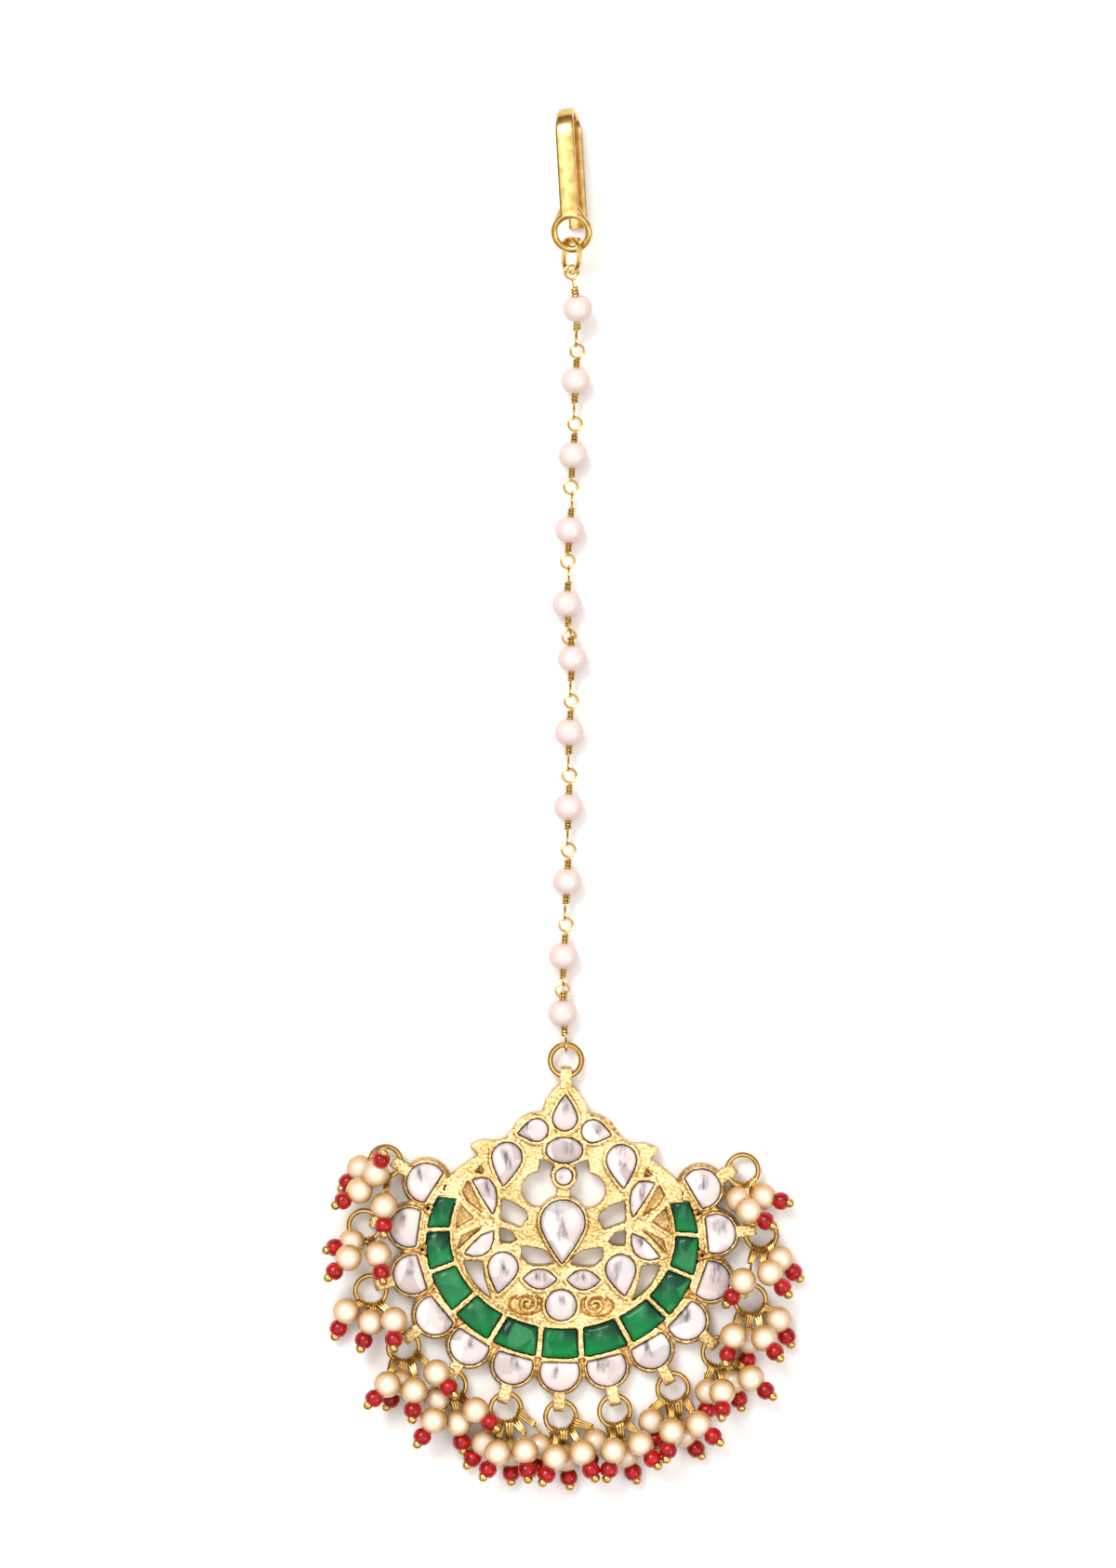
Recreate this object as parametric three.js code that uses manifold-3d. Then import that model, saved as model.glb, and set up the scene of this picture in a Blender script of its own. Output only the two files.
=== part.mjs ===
// A maang tikka, a hair jewel that lies face up: a band hook, a chain of eleven pearls and a cast
// gold pendant with clear and green cut stones and thirteen clusters of pearl drops on its rim.
// Millimetres. +Z points up from the surface that it lies on, +Y points along the chain to the
// hook, and the origin is on the flat back of the pendant, behind its centre stone.
import * as THREE from 'three';
import { mergeVertices } from 'three/addons/utils/BufferGeometryUtils.js';
import Module from 'manifold-3d';

const wasm = await Module();
wasm.setup();

// Driving sizes of the cast setting
const SETTING_TURN = -1.2;
const SETTING_HEIGHT = 2.3;
const POCKET_FLOOR = 1.1;
const RECESS_FLOOR = 1.4;
const CENTRE_BEZEL = { wall: 0.7, foot: 1, height: 2.9 };
const SMALL_BEZEL = { wall: 0.55, foot: 1, height: 2.6 };
const CUT = { below: -1, above: 4 };
const RIM = { x: 16.5, y: 13.7, radius: 2.65, stone: 2.1, flat: 0.95 };
const BODY = { x: RIM.x - 1.6, y: RIM.y - 1, horns: 22 };
const CHANNEL_OUTER = { x: BODY.x - 0.4, y: BODY.y - 0.5, centre: 0 };
const CHANNEL_INNER = { x: CHANNEL_OUTER.x - 2.32, y: CHANNEL_OUTER.y - 2, centre: 1 };
const DIVIDER = 0.7;
const CROWN_TOP = 17;
const CROWN_BASE = 4;

// Driving sizes of the stones
const STONE_GAP = 0.14;
const STONE_LIFT = 0.12;
const GIRDLE = 2.1;
const STONE_TOP = 2.65;
const TABLE_SHARE = 0.6;

// Driving sizes of the tabs, the jump rings and the drops
const TAB = { width: 0.8, root: 0.6, wall: 0.45, hole: 1.3, low: 0.1, high: 2.4 };
const RING_HEIGHT = 1.25;
const RING = { radius: 1.65, wire: 0.22 };
const TOP_RING = { radius: 1.68, wire: 0.32 };
const TOP_TAB_STAND = 0.24;
const PEARL = 1.45;
const DROP_WIRE = 0.2;
const TAIL = { ball: 0.55, reach: 2.95 };

// Driving sizes of the chain
const CHAIN_PEARL = { across: 1.6, along: 1.45 };
const LOOP = { radius: 0.72, wire: 0.15, bite: 0.08, shift: 0.06 };
const NECK_RADIUS = 0.2;
const CHAIN_LENGTH = 82.42;
const CHAIN_HEIGHT = 1.6;

// Driving sizes of the hook
const HOOK = { width: 2, thick: 0.7, gap: 4.7, front: 11.8, back: 12.6, lean: 3.3, roll: 10 };
const HOOK_RING = { radius: 1.86, wire: 0.39, dip: 20 };
const HOOK_LINK = { radius: 1.75, wire: 0.3, turn: 57, lap: 1.176, sink: 0.59 };

const ROUND = 10;
const STONE_SIDES = 8;
const BOSS_SIDES = 6;
const PEAR_STEPS = 5;
const RIM_STEPS = 6;
const BODY_STEPS = 12;
const WIRE_SIDES = 5;

// Half of the crown's outline, from the tab down to the shoulder, in the setting's own frame
const CROWN = [
  { x: 0.7, y: CROWN_TOP }, { x: 1.5, y: 16.3 }, { x: 2.05, y: 15.4 }, { x: 2.5, y: 14 },
  { x: 3.7, y: 13.9 }, { x: 5, y: 13.1 }, { x: 6.3, y: 11.3 },
  { x: 7.1, y: 10.9 }, { x: 8.4, y: 10.95 }, { x: 10.2, y: 10.3 }, { x: 9.25, y: 9.3 },
  { x: 11.7, y: 7.5 }, { x: 13.2, y: 6 }, { x: 13.6, y: CROWN_BASE },
];

// Angles of the scallops along the rim's ellipse, from the horn down to the middle
const SCALLOPS = [26.9, 5.85, -15.35, -35.4, -54, -72.4, -90];

// Dividers of the green channel, in degrees from its middle, on its outer and inner edges
const DIVIDERS = [
  { outer: 9.1, inner: 9.9 }, { outer: 31.1, inner: 29.5 }, { outer: 51.8, inner: 49.8 },
  { outer: 74.3, inner: 70.8 }, { outer: 95.6, inner: 91.7 }, { outer: 114.7, inner: 112.5 },
];

// Stones of the centre. Those with a twin name it, and the twin is their mirror image.
const INNER_STONES = [
  { name: 'top_pear_stone', kind: 'pear', x: 0, y: 13.4, radius: 1.3, tipX: 0, tipY: 15.9 },
  { name: 'crown_drop_stone', kind: 'pear', x: 3, y: 12.1, radius: 1.2, tipX: 5, tipY: 11.7, twin: true },
  { name: 'oval_stone', kind: 'oval', x: 0, y: 10, radius: 1.95, height: 1.35 },
  { name: 'small_round_stone', kind: 'oval', x: 0, y: 7.2, radius: 0.9, height: 0.9 },
  { name: 'upper_pear_stone', kind: 'pear', x: 6.13, y: 9.1, radius: 1.6, tipX: 6.45, tipY: 6.05, twin: true },
  { name: 'centre_pear_stone', kind: 'pear', x: 0, y: 2.35, radius: 1.95, tipX: 0, tipY: -1.5 },
  { name: 'lower_pear_stone', kind: 'pear', x: 6.3, y: -2.65, radius: 1.6, tipX: 6.8, tipY: -5.45, twin: true },
  { name: 'navette_stone', kind: 'navette', x: 2.33, y: -3.83, radius: 1.8, height: 1.05, twin: true },
  { name: 'base_round_stone', kind: 'oval', x: 0, y: -6.6, radius: 1.65, height: 1.65 },
];

// Leaf stones, as the corners of their outlines
const UPPER_LEAF = [
  { x: 9.75, y: 6.65 }, { x: 8.9, y: 6.85 }, { x: 8, y: 6.75 }, { x: 7.35, y: 5.9 },
  { x: 7.15, y: 4.9 }, { x: 7.2, y: 3.9 }, { x: 7.5, y: 3 }, { x: 8.8, y: 4.95 },
];
const LOWER_LEAF = [
  { x: 7.4, y: 1.2 }, { x: 7.4, y: 0.2 }, { x: 7.75, y: -0.8 }, { x: 8.5, y: -1.4 },
  { x: 9.5, y: -1.55 }, { x: 10.45, y: -1.25 }, { x: 9.6, y: -0.2 }, { x: 8.6, y: 0.75 },
];

// Through windows on the right side, as corners. Each has its mirror image on the left.
const WINDOWS = [
  [[6.5, 4.6], [5.4, 4.2], [4.15, 3.4], [3.8, 2.75], [4.5, 1.65], [6.6, 2.5]],
  [[6.7, 1.5], [5.6, 1.15], [5, 0.3], [5.6, 0], [6.6, 0]],
  [[4.25, -0.4], [2.15, -0.75], [1.25, -1.5], [1, -2.15], [2.3, -2.35], [3.5, -2.25], [4.3, -1.5]],
  [[10.5, -2.15], [8.6, -2.25], [8.35, -4], [7.6, -6], [8.6, -5.2], [9.45, -4.3], [10.1, -3.2]],
  [[2.5, 8.9], [1.2, 8.35], [1.6, 7.2], [2.7, 7.3]],
];
const KEYHOLE = { x: 2.6, y: 5.7, radius: 1.85 };

// Sunk panels on the right side, as corners, with their mirror images on the left
const RECESSES = [
  [[11.2, 4.2], [9.6, 2.55], [11.5, 1.35]],
  [[10.2, 6.5], [10.85, 5.4], [10.2, 4.3], [8.5, 3.05]],
  [[8.4, 1.75], [10.8, 0.6], [11.25, -0.9], [9.6, 0.75]],
];
const VOLUTE = { x: 3.75, y: -6.6, width: 2, height: 1.2, boss: 0.6 };

// Clusters from the left horn round to the right one. Lean turns the jump ring about its tab.
const CLUSTERS = [
  { lean: 18 }, { lean: 22 }, { lean: 15 }, { lean: 20 }, { lean: 22 }, { lean: 20 }, { lean: 8 },
  { lean: -9 }, { lean: -3 }, { lean: -13 }, { lean: -22 }, { lean: -22 }, { lean: -22 },
];

// Drops: the cluster, the pearl's turn about its jump ring and how far it lies beyond the ring's
// wire, how high its foot stands, and the heading and climb of the pin that points to the ball
const DROPS = [
  [1, -165.5, 1.15, 0.1, -132, -5], [1, -133.1, 2.32, 1.85, -149, 9],
  [2, -127.5, 0.52, 0.1, -165, 25], [2, -116.7, 1.84, 2.55, -136, 8],
  [3, -140.6, 1.76, 0.1, -114, -5], [3, -48.1, 2.19, 2.3, -90, 20],
  [4, -114.6, 2.35, 2.6, -134, 12], [4, -74.7, 2.84, 2.45, -94, 10],
  [5, -78.5, 2.44, 0.1, -80, -4], [5, -41.6, 1.98, 1.55, -39, 16],
  [6, -121.9, 2.74, 0.1, -128, -5], [6, -63.6, 2.96, 2.45, -84, 12],
  [7, -98.7, 2.36, 2.6, -118, 20], [7, -56.5, 2.5, 2.45, -63, 10],
  [8, -92.8, 2.24, 2.5, -103, 5], [8, -49.6, 2.53, 1.95, -51, 16],
  [9, -92.4, 2.54, 2.5, -102, 8], [9, -52.5, 2.74, 2.1, -39, 16],
  [10, -85, 2.2, 2.65, -92, 35], [10, -35.4, 2.56, 2.2, -39, 16],
  [11, -118.8, 2.4, 2.25, -107, 15], [11, -34.7, 1.94, 0.1, -63, -5],
  [12, -52.4, 1.67, 0.1, -45, -5], [12, -77.9, 2.27, 2.5, -49, 10],
  [13, -52.5, 1.92, 0.1, -11, 20], [13, -82, 2.48, 2.4, -32, 10],
];

// The chain's route, as the middle of its first loop and then its pearls from the hook down. Up is
// a share of the chain's length. Flat says that the loop there, or the pearl's lower loop, lies in
// the floor's plane and isn't on edge, and drawn that it slips past the next one instead of
// hanging from it.
const ROUTE = [
  { x: 0.98, up: 1, flat: true }, { x: 1.63, up: 0.955 }, { x: 1.43, up: 0.863 },
  { x: 1.16, up: 0.766, flat: true }, { x: 0.78, up: 0.669, flat: true },
  { x: 0.48, up: 0.573, flat: true, drawn: true }, { x: 1.08, up: 0.502 }, { x: 0.73, up: 0.406 },
  { x: 0.68, up: 0.309 }, { x: 0.53, up: 0.212 }, { x: 0.13, up: 0.115, flat: true, drawn: true },
  { x: 0.03, up: 0.041 },
];

const COLOURS = {
  setting: ['#dcb96a', 0.45, 1], wire: ['#d9a441', 0.28, 1], clear: ['#ecdfe2', 0.08, 0],
  green: ['#1c6e41', 0.08, 0], chainPearl: ['#ecd8d6', 0.25, 0], dropPearl: ['#eccfa6', 0.25, 0],
};

const radians = degrees => THREE.MathUtils.degToRad(degrees);
const mirrored = corners => corners.map(([x, y]) => [-x, y]);
const pairs = corners => corners.map(({ x, y }) => [x, y]);

// Turns closed three.js geometry into a solid, with doubled corners merged and flat slivers dropped.
function solid(geometry) {
  const bare = geometry.clone();
  bare.deleteAttribute('normal');
  bare.deleteAttribute('uv');
  const merged = mergeVertices(bare, 1e-4);
  const index = merged.index.array;
  const triVerts = [];
  for (let i = 0; i < index.length; i += 3) {
    const [a, b, c] = [index[i], index[i + 1], index[i + 2]];
    if (a !== b && b !== c && c !== a) triVerts.push(a, b, c);
  }
  const vertProperties = new Float32Array(merged.attributes.position.array);
  return new wasm.Manifold(new wasm.Mesh({ numProp: 3, vertProperties, triVerts: new Uint32Array(triVerts) }));
}

function joined(solids) {
  return solids.reduce((whole, next) => whole.add(next));
}

// Names a solid and gives it a material of its own.
function node(name, body, colour) {
  const { vertProperties, triVerts } = body.getMesh();
  const geometry = new THREE.BufferGeometry();
  geometry.setAttribute('position', new THREE.BufferAttribute(vertProperties, 3));
  geometry.setIndex(new THREE.BufferAttribute(triVerts, 1));
  const [color, roughness, metalness] = COLOURS[colour];
  const material = new THREE.MeshStandardMaterial({ color, roughness, metalness, flatShading: true });
  const mesh = new THREE.Mesh(geometry, material);
  mesh.name = name;
  return mesh;
}

// Corners of part of an ellipse, from one angle to another in degrees.
function arc(x, y, radiusX, radiusY, start, end, steps) {
  const curve = new THREE.EllipseCurve(x, y, radiusX, radiusY, radians(start), radians(end), end < start);
  return curve.getPoints(steps).map(point => [point.x, point.y]);
}

function disc(x, y, radius, sides) {
  return arc(x, y, radius, radius, 0, 360, sides).slice(1);
}

function anticlockwise(corners) {
  const points = corners.map(([x, y]) => new THREE.Vector2(x, y));
  return THREE.ShapeUtils.isClockWise(points) ? points.reverse() : points;
}

// Moves each corner of an outline outwards by the same distance from both of its sides.
function grown(corners, distance) {
  const points = anticlockwise(corners);
  return points.map((point, i) => {
    const before = point.clone().sub(points.at(i - 1)).normalize();
    const after = points[(i + 1) % points.length].clone().sub(point).normalize();
    const out = new THREE.Vector2(before.y + after.y, -before.x - after.x).normalize();
    const share = Math.max(0.55, out.x * before.y - out.y * before.x);
    return [point.x + out.x * distance / share, point.y + out.y * distance / share];
  });
}

function slab(corners, low, high) {
  const shape = new THREE.Shape(anticlockwise(corners));
  const geometry = new THREE.ExtrudeGeometry(shape, { depth: high - low, bevelEnabled: false });
  return solid(geometry.translate(0, 0, low));
}

// A cut stone is a lathe of low sides whose round section takes the stone's own outline.
function cutStone(corners) {
  const outline = anticlockwise(corners);
  const middle = outline.reduce((sum, point) => sum.add(point), new THREE.Vector2()).divideScalar(outline.length);
  const profile = [[0, POCKET_FLOOR + STONE_LIFT], [1, GIRDLE], [TABLE_SHARE, STONE_TOP], [0, STONE_TOP]];
  const lathe = new THREE.LatheGeometry(profile.map(([share, z]) => new THREE.Vector2(share, z)), outline.length);
  const position = lathe.attributes.position;
  for (let i = 0; i < position.count; i += 1) {
    const [share, z] = profile[i % profile.length];
    const corner = outline[Math.floor(i / profile.length) % outline.length];
    position.setXYZ(i, middle.x + share * (corner.x - middle.x), middle.y + share * (corner.y - middle.y), z);
  }
  return solid(lathe);
}

// A pear outline: the round end as an arc whose ends run straight to the tip.
function pear({ x, y, radius, tipX, tipY }, spread = 0) {
  const heading = THREE.MathUtils.radToDeg(Math.atan2(tipY - y, tipX - x));
  const round = arc(x, y, radius + spread, radius + spread, heading + 62, heading + 298, PEAR_STEPS);
  const reach = 1 + 1.4 * spread / Math.hypot(tipX - x, tipY - y);
  return [...round, [x + reach * (tipX - x), y + reach * (tipY - y)]];
}

function navette({ x, y, radius, height }) {
  const upper = [-1, -0.6, 0, 0.6, 1].map(share => [x + share * radius, y + height * (1 - share * share)]);
  const lower = [0.6, 0, -0.6].map(share => [x + share * radius, y - height * (1 - share * share)]);
  return [...upper, ...lower];
}

function innerOutline(stone) {
  if (stone.kind === 'pear') return pear(stone);
  if (stone.kind === 'navette') return navette(stone);
  return arc(stone.x, stone.y, stone.radius, stone.height, 0, 360, STONE_SIDES).slice(1);
}

// Every inner stone's name and outline, with the twins on both sides.
function innerStones() {
  const single = INNER_STONES.map(stone => ({ ...stone, corners: innerOutline(stone) }));
  const leaves = [
    { name: 'upper_leaf_stone', corners: pairs(UPPER_LEAF), twin: true },
    { name: 'lower_leaf_stone', corners: pairs(LOWER_LEAF), twin: true },
  ];
  return [...single, ...leaves].flatMap(({ name, corners, twin }) => (twin ? [
    { name: `${name}_left`, corners: mirrored(corners) },
    { name: `${name}_right`, corners },
  ] : [{ name, corners }]));
}

// Places of the thirteen scallops from the left horn to the right: centre and outward heading.
function scallops() {
  const right = SCALLOPS.map(angle => {
    const [c, s] = [Math.cos(radians(angle)), Math.sin(radians(angle))];
    return { x: RIM.x * c, y: RIM.y * s, heading: Math.atan2(s / RIM.y, c / RIM.x) };
  });
  const left = right.slice(0, -1).map(({ x, y, heading }) => ({ x: -x, y, heading: Math.PI - heading }));
  return [...left, ...right.reverse()];
}

// A rim stone is a disc with one flat side, which faces the channel.
function rimOutline({ x, y, heading }) {
  const half = THREE.MathUtils.radToDeg(Math.acos(-RIM.flat / RIM.stone));
  const middle = THREE.MathUtils.radToDeg(heading);
  return arc(x, y, RIM.stone, RIM.stone, middle - half, middle + half, RIM_STEPS);
}

// One green stone lies in the channel between two dividers, given in degrees from the middle.
function greenOutline(from, to) {
  const edge = (ring, start, end) => {
    const margin = THREE.MathUtils.radToDeg(DIVIDER / 2 / ((ring.x + ring.y) / 2));
    return arc(0, ring.centre, ring.x, ring.y, start - 90 + margin, end - 90 - margin, 2);
  };
  const outer = edge(CHANNEL_OUTER, from.outer, to.outer);
  const inner = edge(CHANNEL_INNER, from.inner, to.inner);
  return [...outer, ...inner.reverse()];
}

function greenStones() {
  const left = DIVIDERS.map(({ outer, inner }) => ({ outer: -outer, inner: -inner })).reverse();
  const edges = [...left, ...DIVIDERS];
  return edges.slice(1).map((to, i) => greenOutline(edges[i], to));
}

// A bent strip with a hole along the rim, for a jump ring. It points along +X from its root.
function tab() {
  const length = TAB.hole + TAB.wall;
  const strip = new THREE.Shape([
    [-TAB.root, TAB.low], [length, TAB.low], [length, TAB.high], [-TAB.root, TAB.high],
  ].map(([x, y]) => new THREE.Vector2(x, y)));
  const middle = (TAB.low + TAB.high) / 2;
  const half = TAB.hole / 2;
  strip.holes.push(new THREE.Path([
    [0.02, middle - half], [0.02, middle + half], [TAB.hole, middle + half], [TAB.hole, middle - half],
  ].map(([x, y]) => new THREE.Vector2(x, y))));
  const geometry = new THREE.ExtrudeGeometry(strip, { depth: TAB.width, bevelEnabled: false });
  return geometry.translate(0, 0, -TAB.width / 2).rotateX(Math.PI / 2);
}

function placedTab({ x, y, heading }, root) {
  return solid(tab().translate(root, 0, 0).rotateZ(heading).translate(x, y, 0));
}

// The whole cast setting: body, crown, scallops, tabs and bezels, less its pockets and windows.
function setting() {
  const horns = BODY.horns;
  const crownRight = pairs(CROWN);
  const crown = slab([...crownRight, ...mirrored(crownRight).reverse()], 0, SETTING_HEIGHT);
  const body = slab(arc(0, 0, BODY.x, BODY.y, 180 - horns, 360 + horns, BODY_STEPS), 0, SETTING_HEIGHT);
  const rims = scallops().map(({ x, y }) => slab(disc(x, y, RIM.radius, ROUND), 0, SETTING_HEIGHT));
  const tabs = scallops().map(place => placedTab(place, RIM.radius));
  const topTab = placedTab({ x: 0, y: CROWN_TOP, heading: Math.PI / 2 }, TOP_TAB_STAND);
  const centre = INNER_STONES.find(stone => stone.name === 'centre_pear_stone');
  const small = INNER_STONES.find(stone => stone.name === 'small_round_stone');
  const bezels = [
    slab(pear(centre, CENTRE_BEZEL.wall), CENTRE_BEZEL.foot, CENTRE_BEZEL.height),
    slab(disc(small.x, small.y, small.radius + SMALL_BEZEL.wall, STONE_SIDES), SMALL_BEZEL.foot, SMALL_BEZEL.height),
  ];
  const volutes = [-1, 1].flatMap(side => {
    const outline = arc(side * VOLUTE.x, VOLUTE.y, VOLUTE.width, VOLUTE.height, 0, 360, ROUND).slice(1);
    const boss = disc(side * VOLUTE.x, VOLUTE.y, VOLUTE.boss, BOSS_SIDES);
    return [slab(outline, RECESS_FLOOR, CUT.above).subtract(slab(boss, CUT.below, CUT.above))];
  });
  const panels = RECESSES.flatMap(corners => [corners, mirrored(corners)]).map(corners => slab(corners, RECESS_FLOOR, CUT.above));
  const windows = WINDOWS.flatMap(corners => [corners, mirrored(corners)]).map(corners => slab(corners, CUT.below, CUT.above));
  const keyholes = [-1, 1].map(side => {
    return slab(disc(side * KEYHOLE.x, KEYHOLE.y, KEYHOLE.radius, ROUND), CUT.below, CUT.above);
  });
  const outlines = [
    ...innerStones().map(({ corners }) => corners),
    ...scallops().map(rimOutline),
    ...greenStones(),
  ];
  const pockets = outlines.map(corners => slab(grown(corners, STONE_GAP), POCKET_FLOOR, CUT.above));
  const openings = [...windows, ...keyholes];
  const block = joined([crown, body, ...rims]).subtract(joined(openings)).subtract(joined([...panels, ...volutes]));
  return joined([block, ...bezels, ...tabs, topTab]).subtract(joined(pockets));
}

// A ring of round wire, lying flat about the origin.
function wireRing(radius, wire) {
  return new THREE.TorusGeometry(radius, wire, WIRE_SIDES, ROUND);
}

// A bead on a pin: a lathe about an axis, whose first row is moved and turned to where its wire starts.
function beadOnPin(profile, centre, axis, start) {
  const points = profile.map(([radius, along]) => new THREE.Vector2(radius, along));
  const lathe = new THREE.LatheGeometry(points, ROUND);
  const turn = new THREE.Quaternion().setFromUnitVectors(new THREE.Vector3(0, 1, 0), axis);
  const [, first] = profile[0];
  const [, second] = profile[2];
  const wire = centre.clone().addScaledVector(axis, second).sub(start).normalize();
  const bend = new THREE.Quaternion().setFromUnitVectors(axis, wire);
  const position = lathe.attributes.position;
  const point = new THREE.Vector3();
  for (let i = 0; i < position.count; i += 1) {
    point.fromBufferAttribute(position, i);
    const moved = Math.abs(point.y - first) < 1e-6;
    if (moved) point.setY(0);
    point.applyQuaternion(turn);
    if (moved) point.applyQuaternion(bend).add(start);
    else point.add(centre);
    position.setXYZ(i, point.x, point.y, point.z);
  }
  return lathe;
}

// Half profile of a pearl, from its head to its foot, with a hole-sized waist at both ends.
function pearlProfile(across, along, waist, rows) {
  const turns = Array.from({ length: rows }, (_, i) => Math.PI * (i + 1) / (rows + 1));
  const grow = rows % 2 ? 1 : 1 / Math.sin(turns[rows / 2]);
  const round = turns.map(turn => [across * Math.sin(turn) * (grow + 1) / 2, -along * Math.cos(turn)]);
  return [[waist, -along], ...round, [waist, along]];
}

// A jump ring that lies through its tab, with the drops whose wires are bent round it.
function cluster(number) {
  const place = scallops()[number - 1];
  const hole = RIM.radius + TAB.hole / 2;
  const lean = place.heading + radians(CLUSTERS[number - 1].lean);
  const centre = new THREE.Vector3(place.x, place.y, RING_HEIGHT);
  centre.add(new THREE.Vector3(Math.cos(place.heading), Math.sin(place.heading), 0).multiplyScalar(hole));
  centre.add(new THREE.Vector3(Math.cos(lean), Math.sin(lean), 0).multiplyScalar(RING.radius));
  centre.applyAxisAngle(new THREE.Vector3(0, 0, 1), radians(SETTING_TURN));
  const ring = wireRing(RING.radius, RING.wire).translate(centre.x, centre.y, centre.z);
  const drops = DROPS.filter(([owner]) => owner === number).map(row => drop(row, centre));
  return joined([ring, ...drops].map(solid));
}

function drop([, turn, beyond, foot, heading, climb], ringCentre) {
  const reach = RING.radius + beyond;
  const away = new THREE.Vector3(Math.cos(radians(turn)), Math.sin(radians(turn)), 0);
  const pearl = ringCentre.clone().addScaledVector(away, reach).setZ(PEARL + foot);
  const [azimuth, rise] = [radians(heading), radians(climb)];
  const axis = new THREE.Vector3(Math.cos(azimuth) * Math.cos(rise), Math.sin(azimuth) * Math.cos(rise), Math.sin(rise));
  const head = pearl.clone().addScaledVector(axis, -PEARL);
  const out = head.clone().sub(ringCentre).setZ(0).setLength(RING.radius - RING.wire / 5);
  const start = ringCentre.clone().add(out);
  const profile = [
    [0, -PEARL - 1], [DROP_WIRE, -PEARL - 1], ...pearlProfile(PEARL, PEARL, DROP_WIRE, 2),
    [TAIL.ball, TAIL.reach], [0, TAIL.reach + TAIL.ball],
  ];
  return beadOnPin(profile, pearl, axis, start);
}

// The jump ring at the top passes through the crown's tab and lies up the chain from it.
function topRingCentre() {
  const hole = new THREE.Vector3(0, CROWN_TOP + TOP_TAB_STAND + TAB.hole / 2, RING_HEIGHT);
  hole.applyAxisAngle(new THREE.Vector3(0, 0, 1), radians(SETTING_TURN));
  return hole.setY(hole.y + TOP_RING.radius);
}

// The chain: each link is a pearl on a wire that ends in a loop on both sides, and each loop
// passes through the next link's, which it touches.
function pearlChain() {
  const first = chainStart();
  const apart = 2 * (LOOP.radius - LOOP.wire) + LOOP.bite;
  const height = index => (index === 0 ? (first.z + CHAIN_HEIGHT) / 2 : CHAIN_HEIGHT);
  const pearls = ROUTE.slice(1).map((row, i) => new THREE.Vector3(row.x, chainRise(row), height(i)));
  const joints = ROUTE.slice(1, -1).map(({ flat, drawn }, i) => {
    const middle = pearls[i].clone().add(pearls[i + 1]).divideScalar(2).setZ(CHAIN_HEIGHT);
    const shift = new THREE.Vector3(-LOOP.shift, (drawn ? -apart : apart) / 2, 0);
    return { upper: middle.clone().add(shift), lower: middle.clone().sub(shift), flat: Boolean(flat) };
  });
  const last = topRingCentre();
  last.setY(last.y + TOP_RING.radius);
  const starts = [first, ...joints.map(({ lower }) => lower)];
  const ends = [...joints.map(({ upper }) => upper), last];
  const startsFlat = [ROUTE[0].flat, ...joints.map(({ flat }) => !flat)];
  const endsFlat = [...joints.map(({ flat }) => flat), false];
  const pieces = pearls.flatMap((pearl, i) => [
    chainLink(pearl, nearSide(starts[i], pearl, startsFlat[i]), nearSide(ends[i], pearl, endsFlat[i])),
    chainLoop(starts[i], startsFlat[i]),
    chainLoop(ends[i], endsFlat[i]),
  ]);
  return joined(pieces.map(solid));
}

function chainLoop(centre, flat) {
  const ring = wireRing(LOOP.radius, LOOP.wire).rotateZ(Math.PI / ROUND);
  if (!flat) ring.rotateY(Math.PI / 2);
  return ring.translate(centre.x, centre.y, centre.z);
}

// The point of a loop's wire that is nearest to its pearl, in the plane that the loop lies in.
function nearSide(centre, pearl, flat) {
  const toward = pearl.clone().sub(centre).setComponent(flat ? 2 : 0, 0);
  return centre.clone().add(toward.setLength(LOOP.radius));
}

// A pearl with wire on both sides, each end of which meets its loop.
function chainLink(pearl, near, far) {
  const axis = far.clone().sub(near).normalize();
  const profile = [
    [0, -pearl.distanceTo(near)], [NECK_RADIUS, -pearl.distanceTo(near)],
    ...pearlProfile(CHAIN_PEARL.across, CHAIN_PEARL.along, NECK_RADIUS, 2),
    [NECK_RADIUS, pearl.distanceTo(far)], [0, pearl.distanceTo(far)],
  ];
  return beadOnPin(profile, pearl, axis, near);
}

// How high the hook's ring hangs once the hook lies rolled on the edge of its lower limb.
function hookHeights() {
  const { width, thick, gap, roll } = HOOK;
  const outer = gap / 2 + thick;
  const middle = outer * Math.cos(radians(roll)) + width / 2 * Math.sin(radians(roll));
  const limb = (gap + thick) / 2 - HOOK_RING.radius * Math.sin(radians(HOOK_RING.dip));
  return { middle, ring: middle + limb * Math.cos(radians(roll)) };
}

// How far up the floor a point of the chain's route lies.
function chainRise({ up }) {
  return topRingCentre().y + TOP_RING.radius + up * CHAIN_LENGTH;
}

// The chain's first loop passes through the lowest point of the hook's jump ring.
function chainStart() {
  const [start] = ROUTE;
  return new THREE.Vector3(start.x, chainRise(start), hookHeights().ring - HOOK_LINK.sink);
}

// The jump ring between the hook and the chain stands on edge, turned about the chain's line.
function hookJumpRing() {
  const ring = wireRing(HOOK_LINK.radius, HOOK_LINK.wire).rotateZ(Math.PI / ROUND);
  const { x, y, z } = chainStart();
  return solid(ring.rotateY(-radians(HOOK_LINK.turn)).translate(x, y + HOOK_LINK.radius, z));
}

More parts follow.
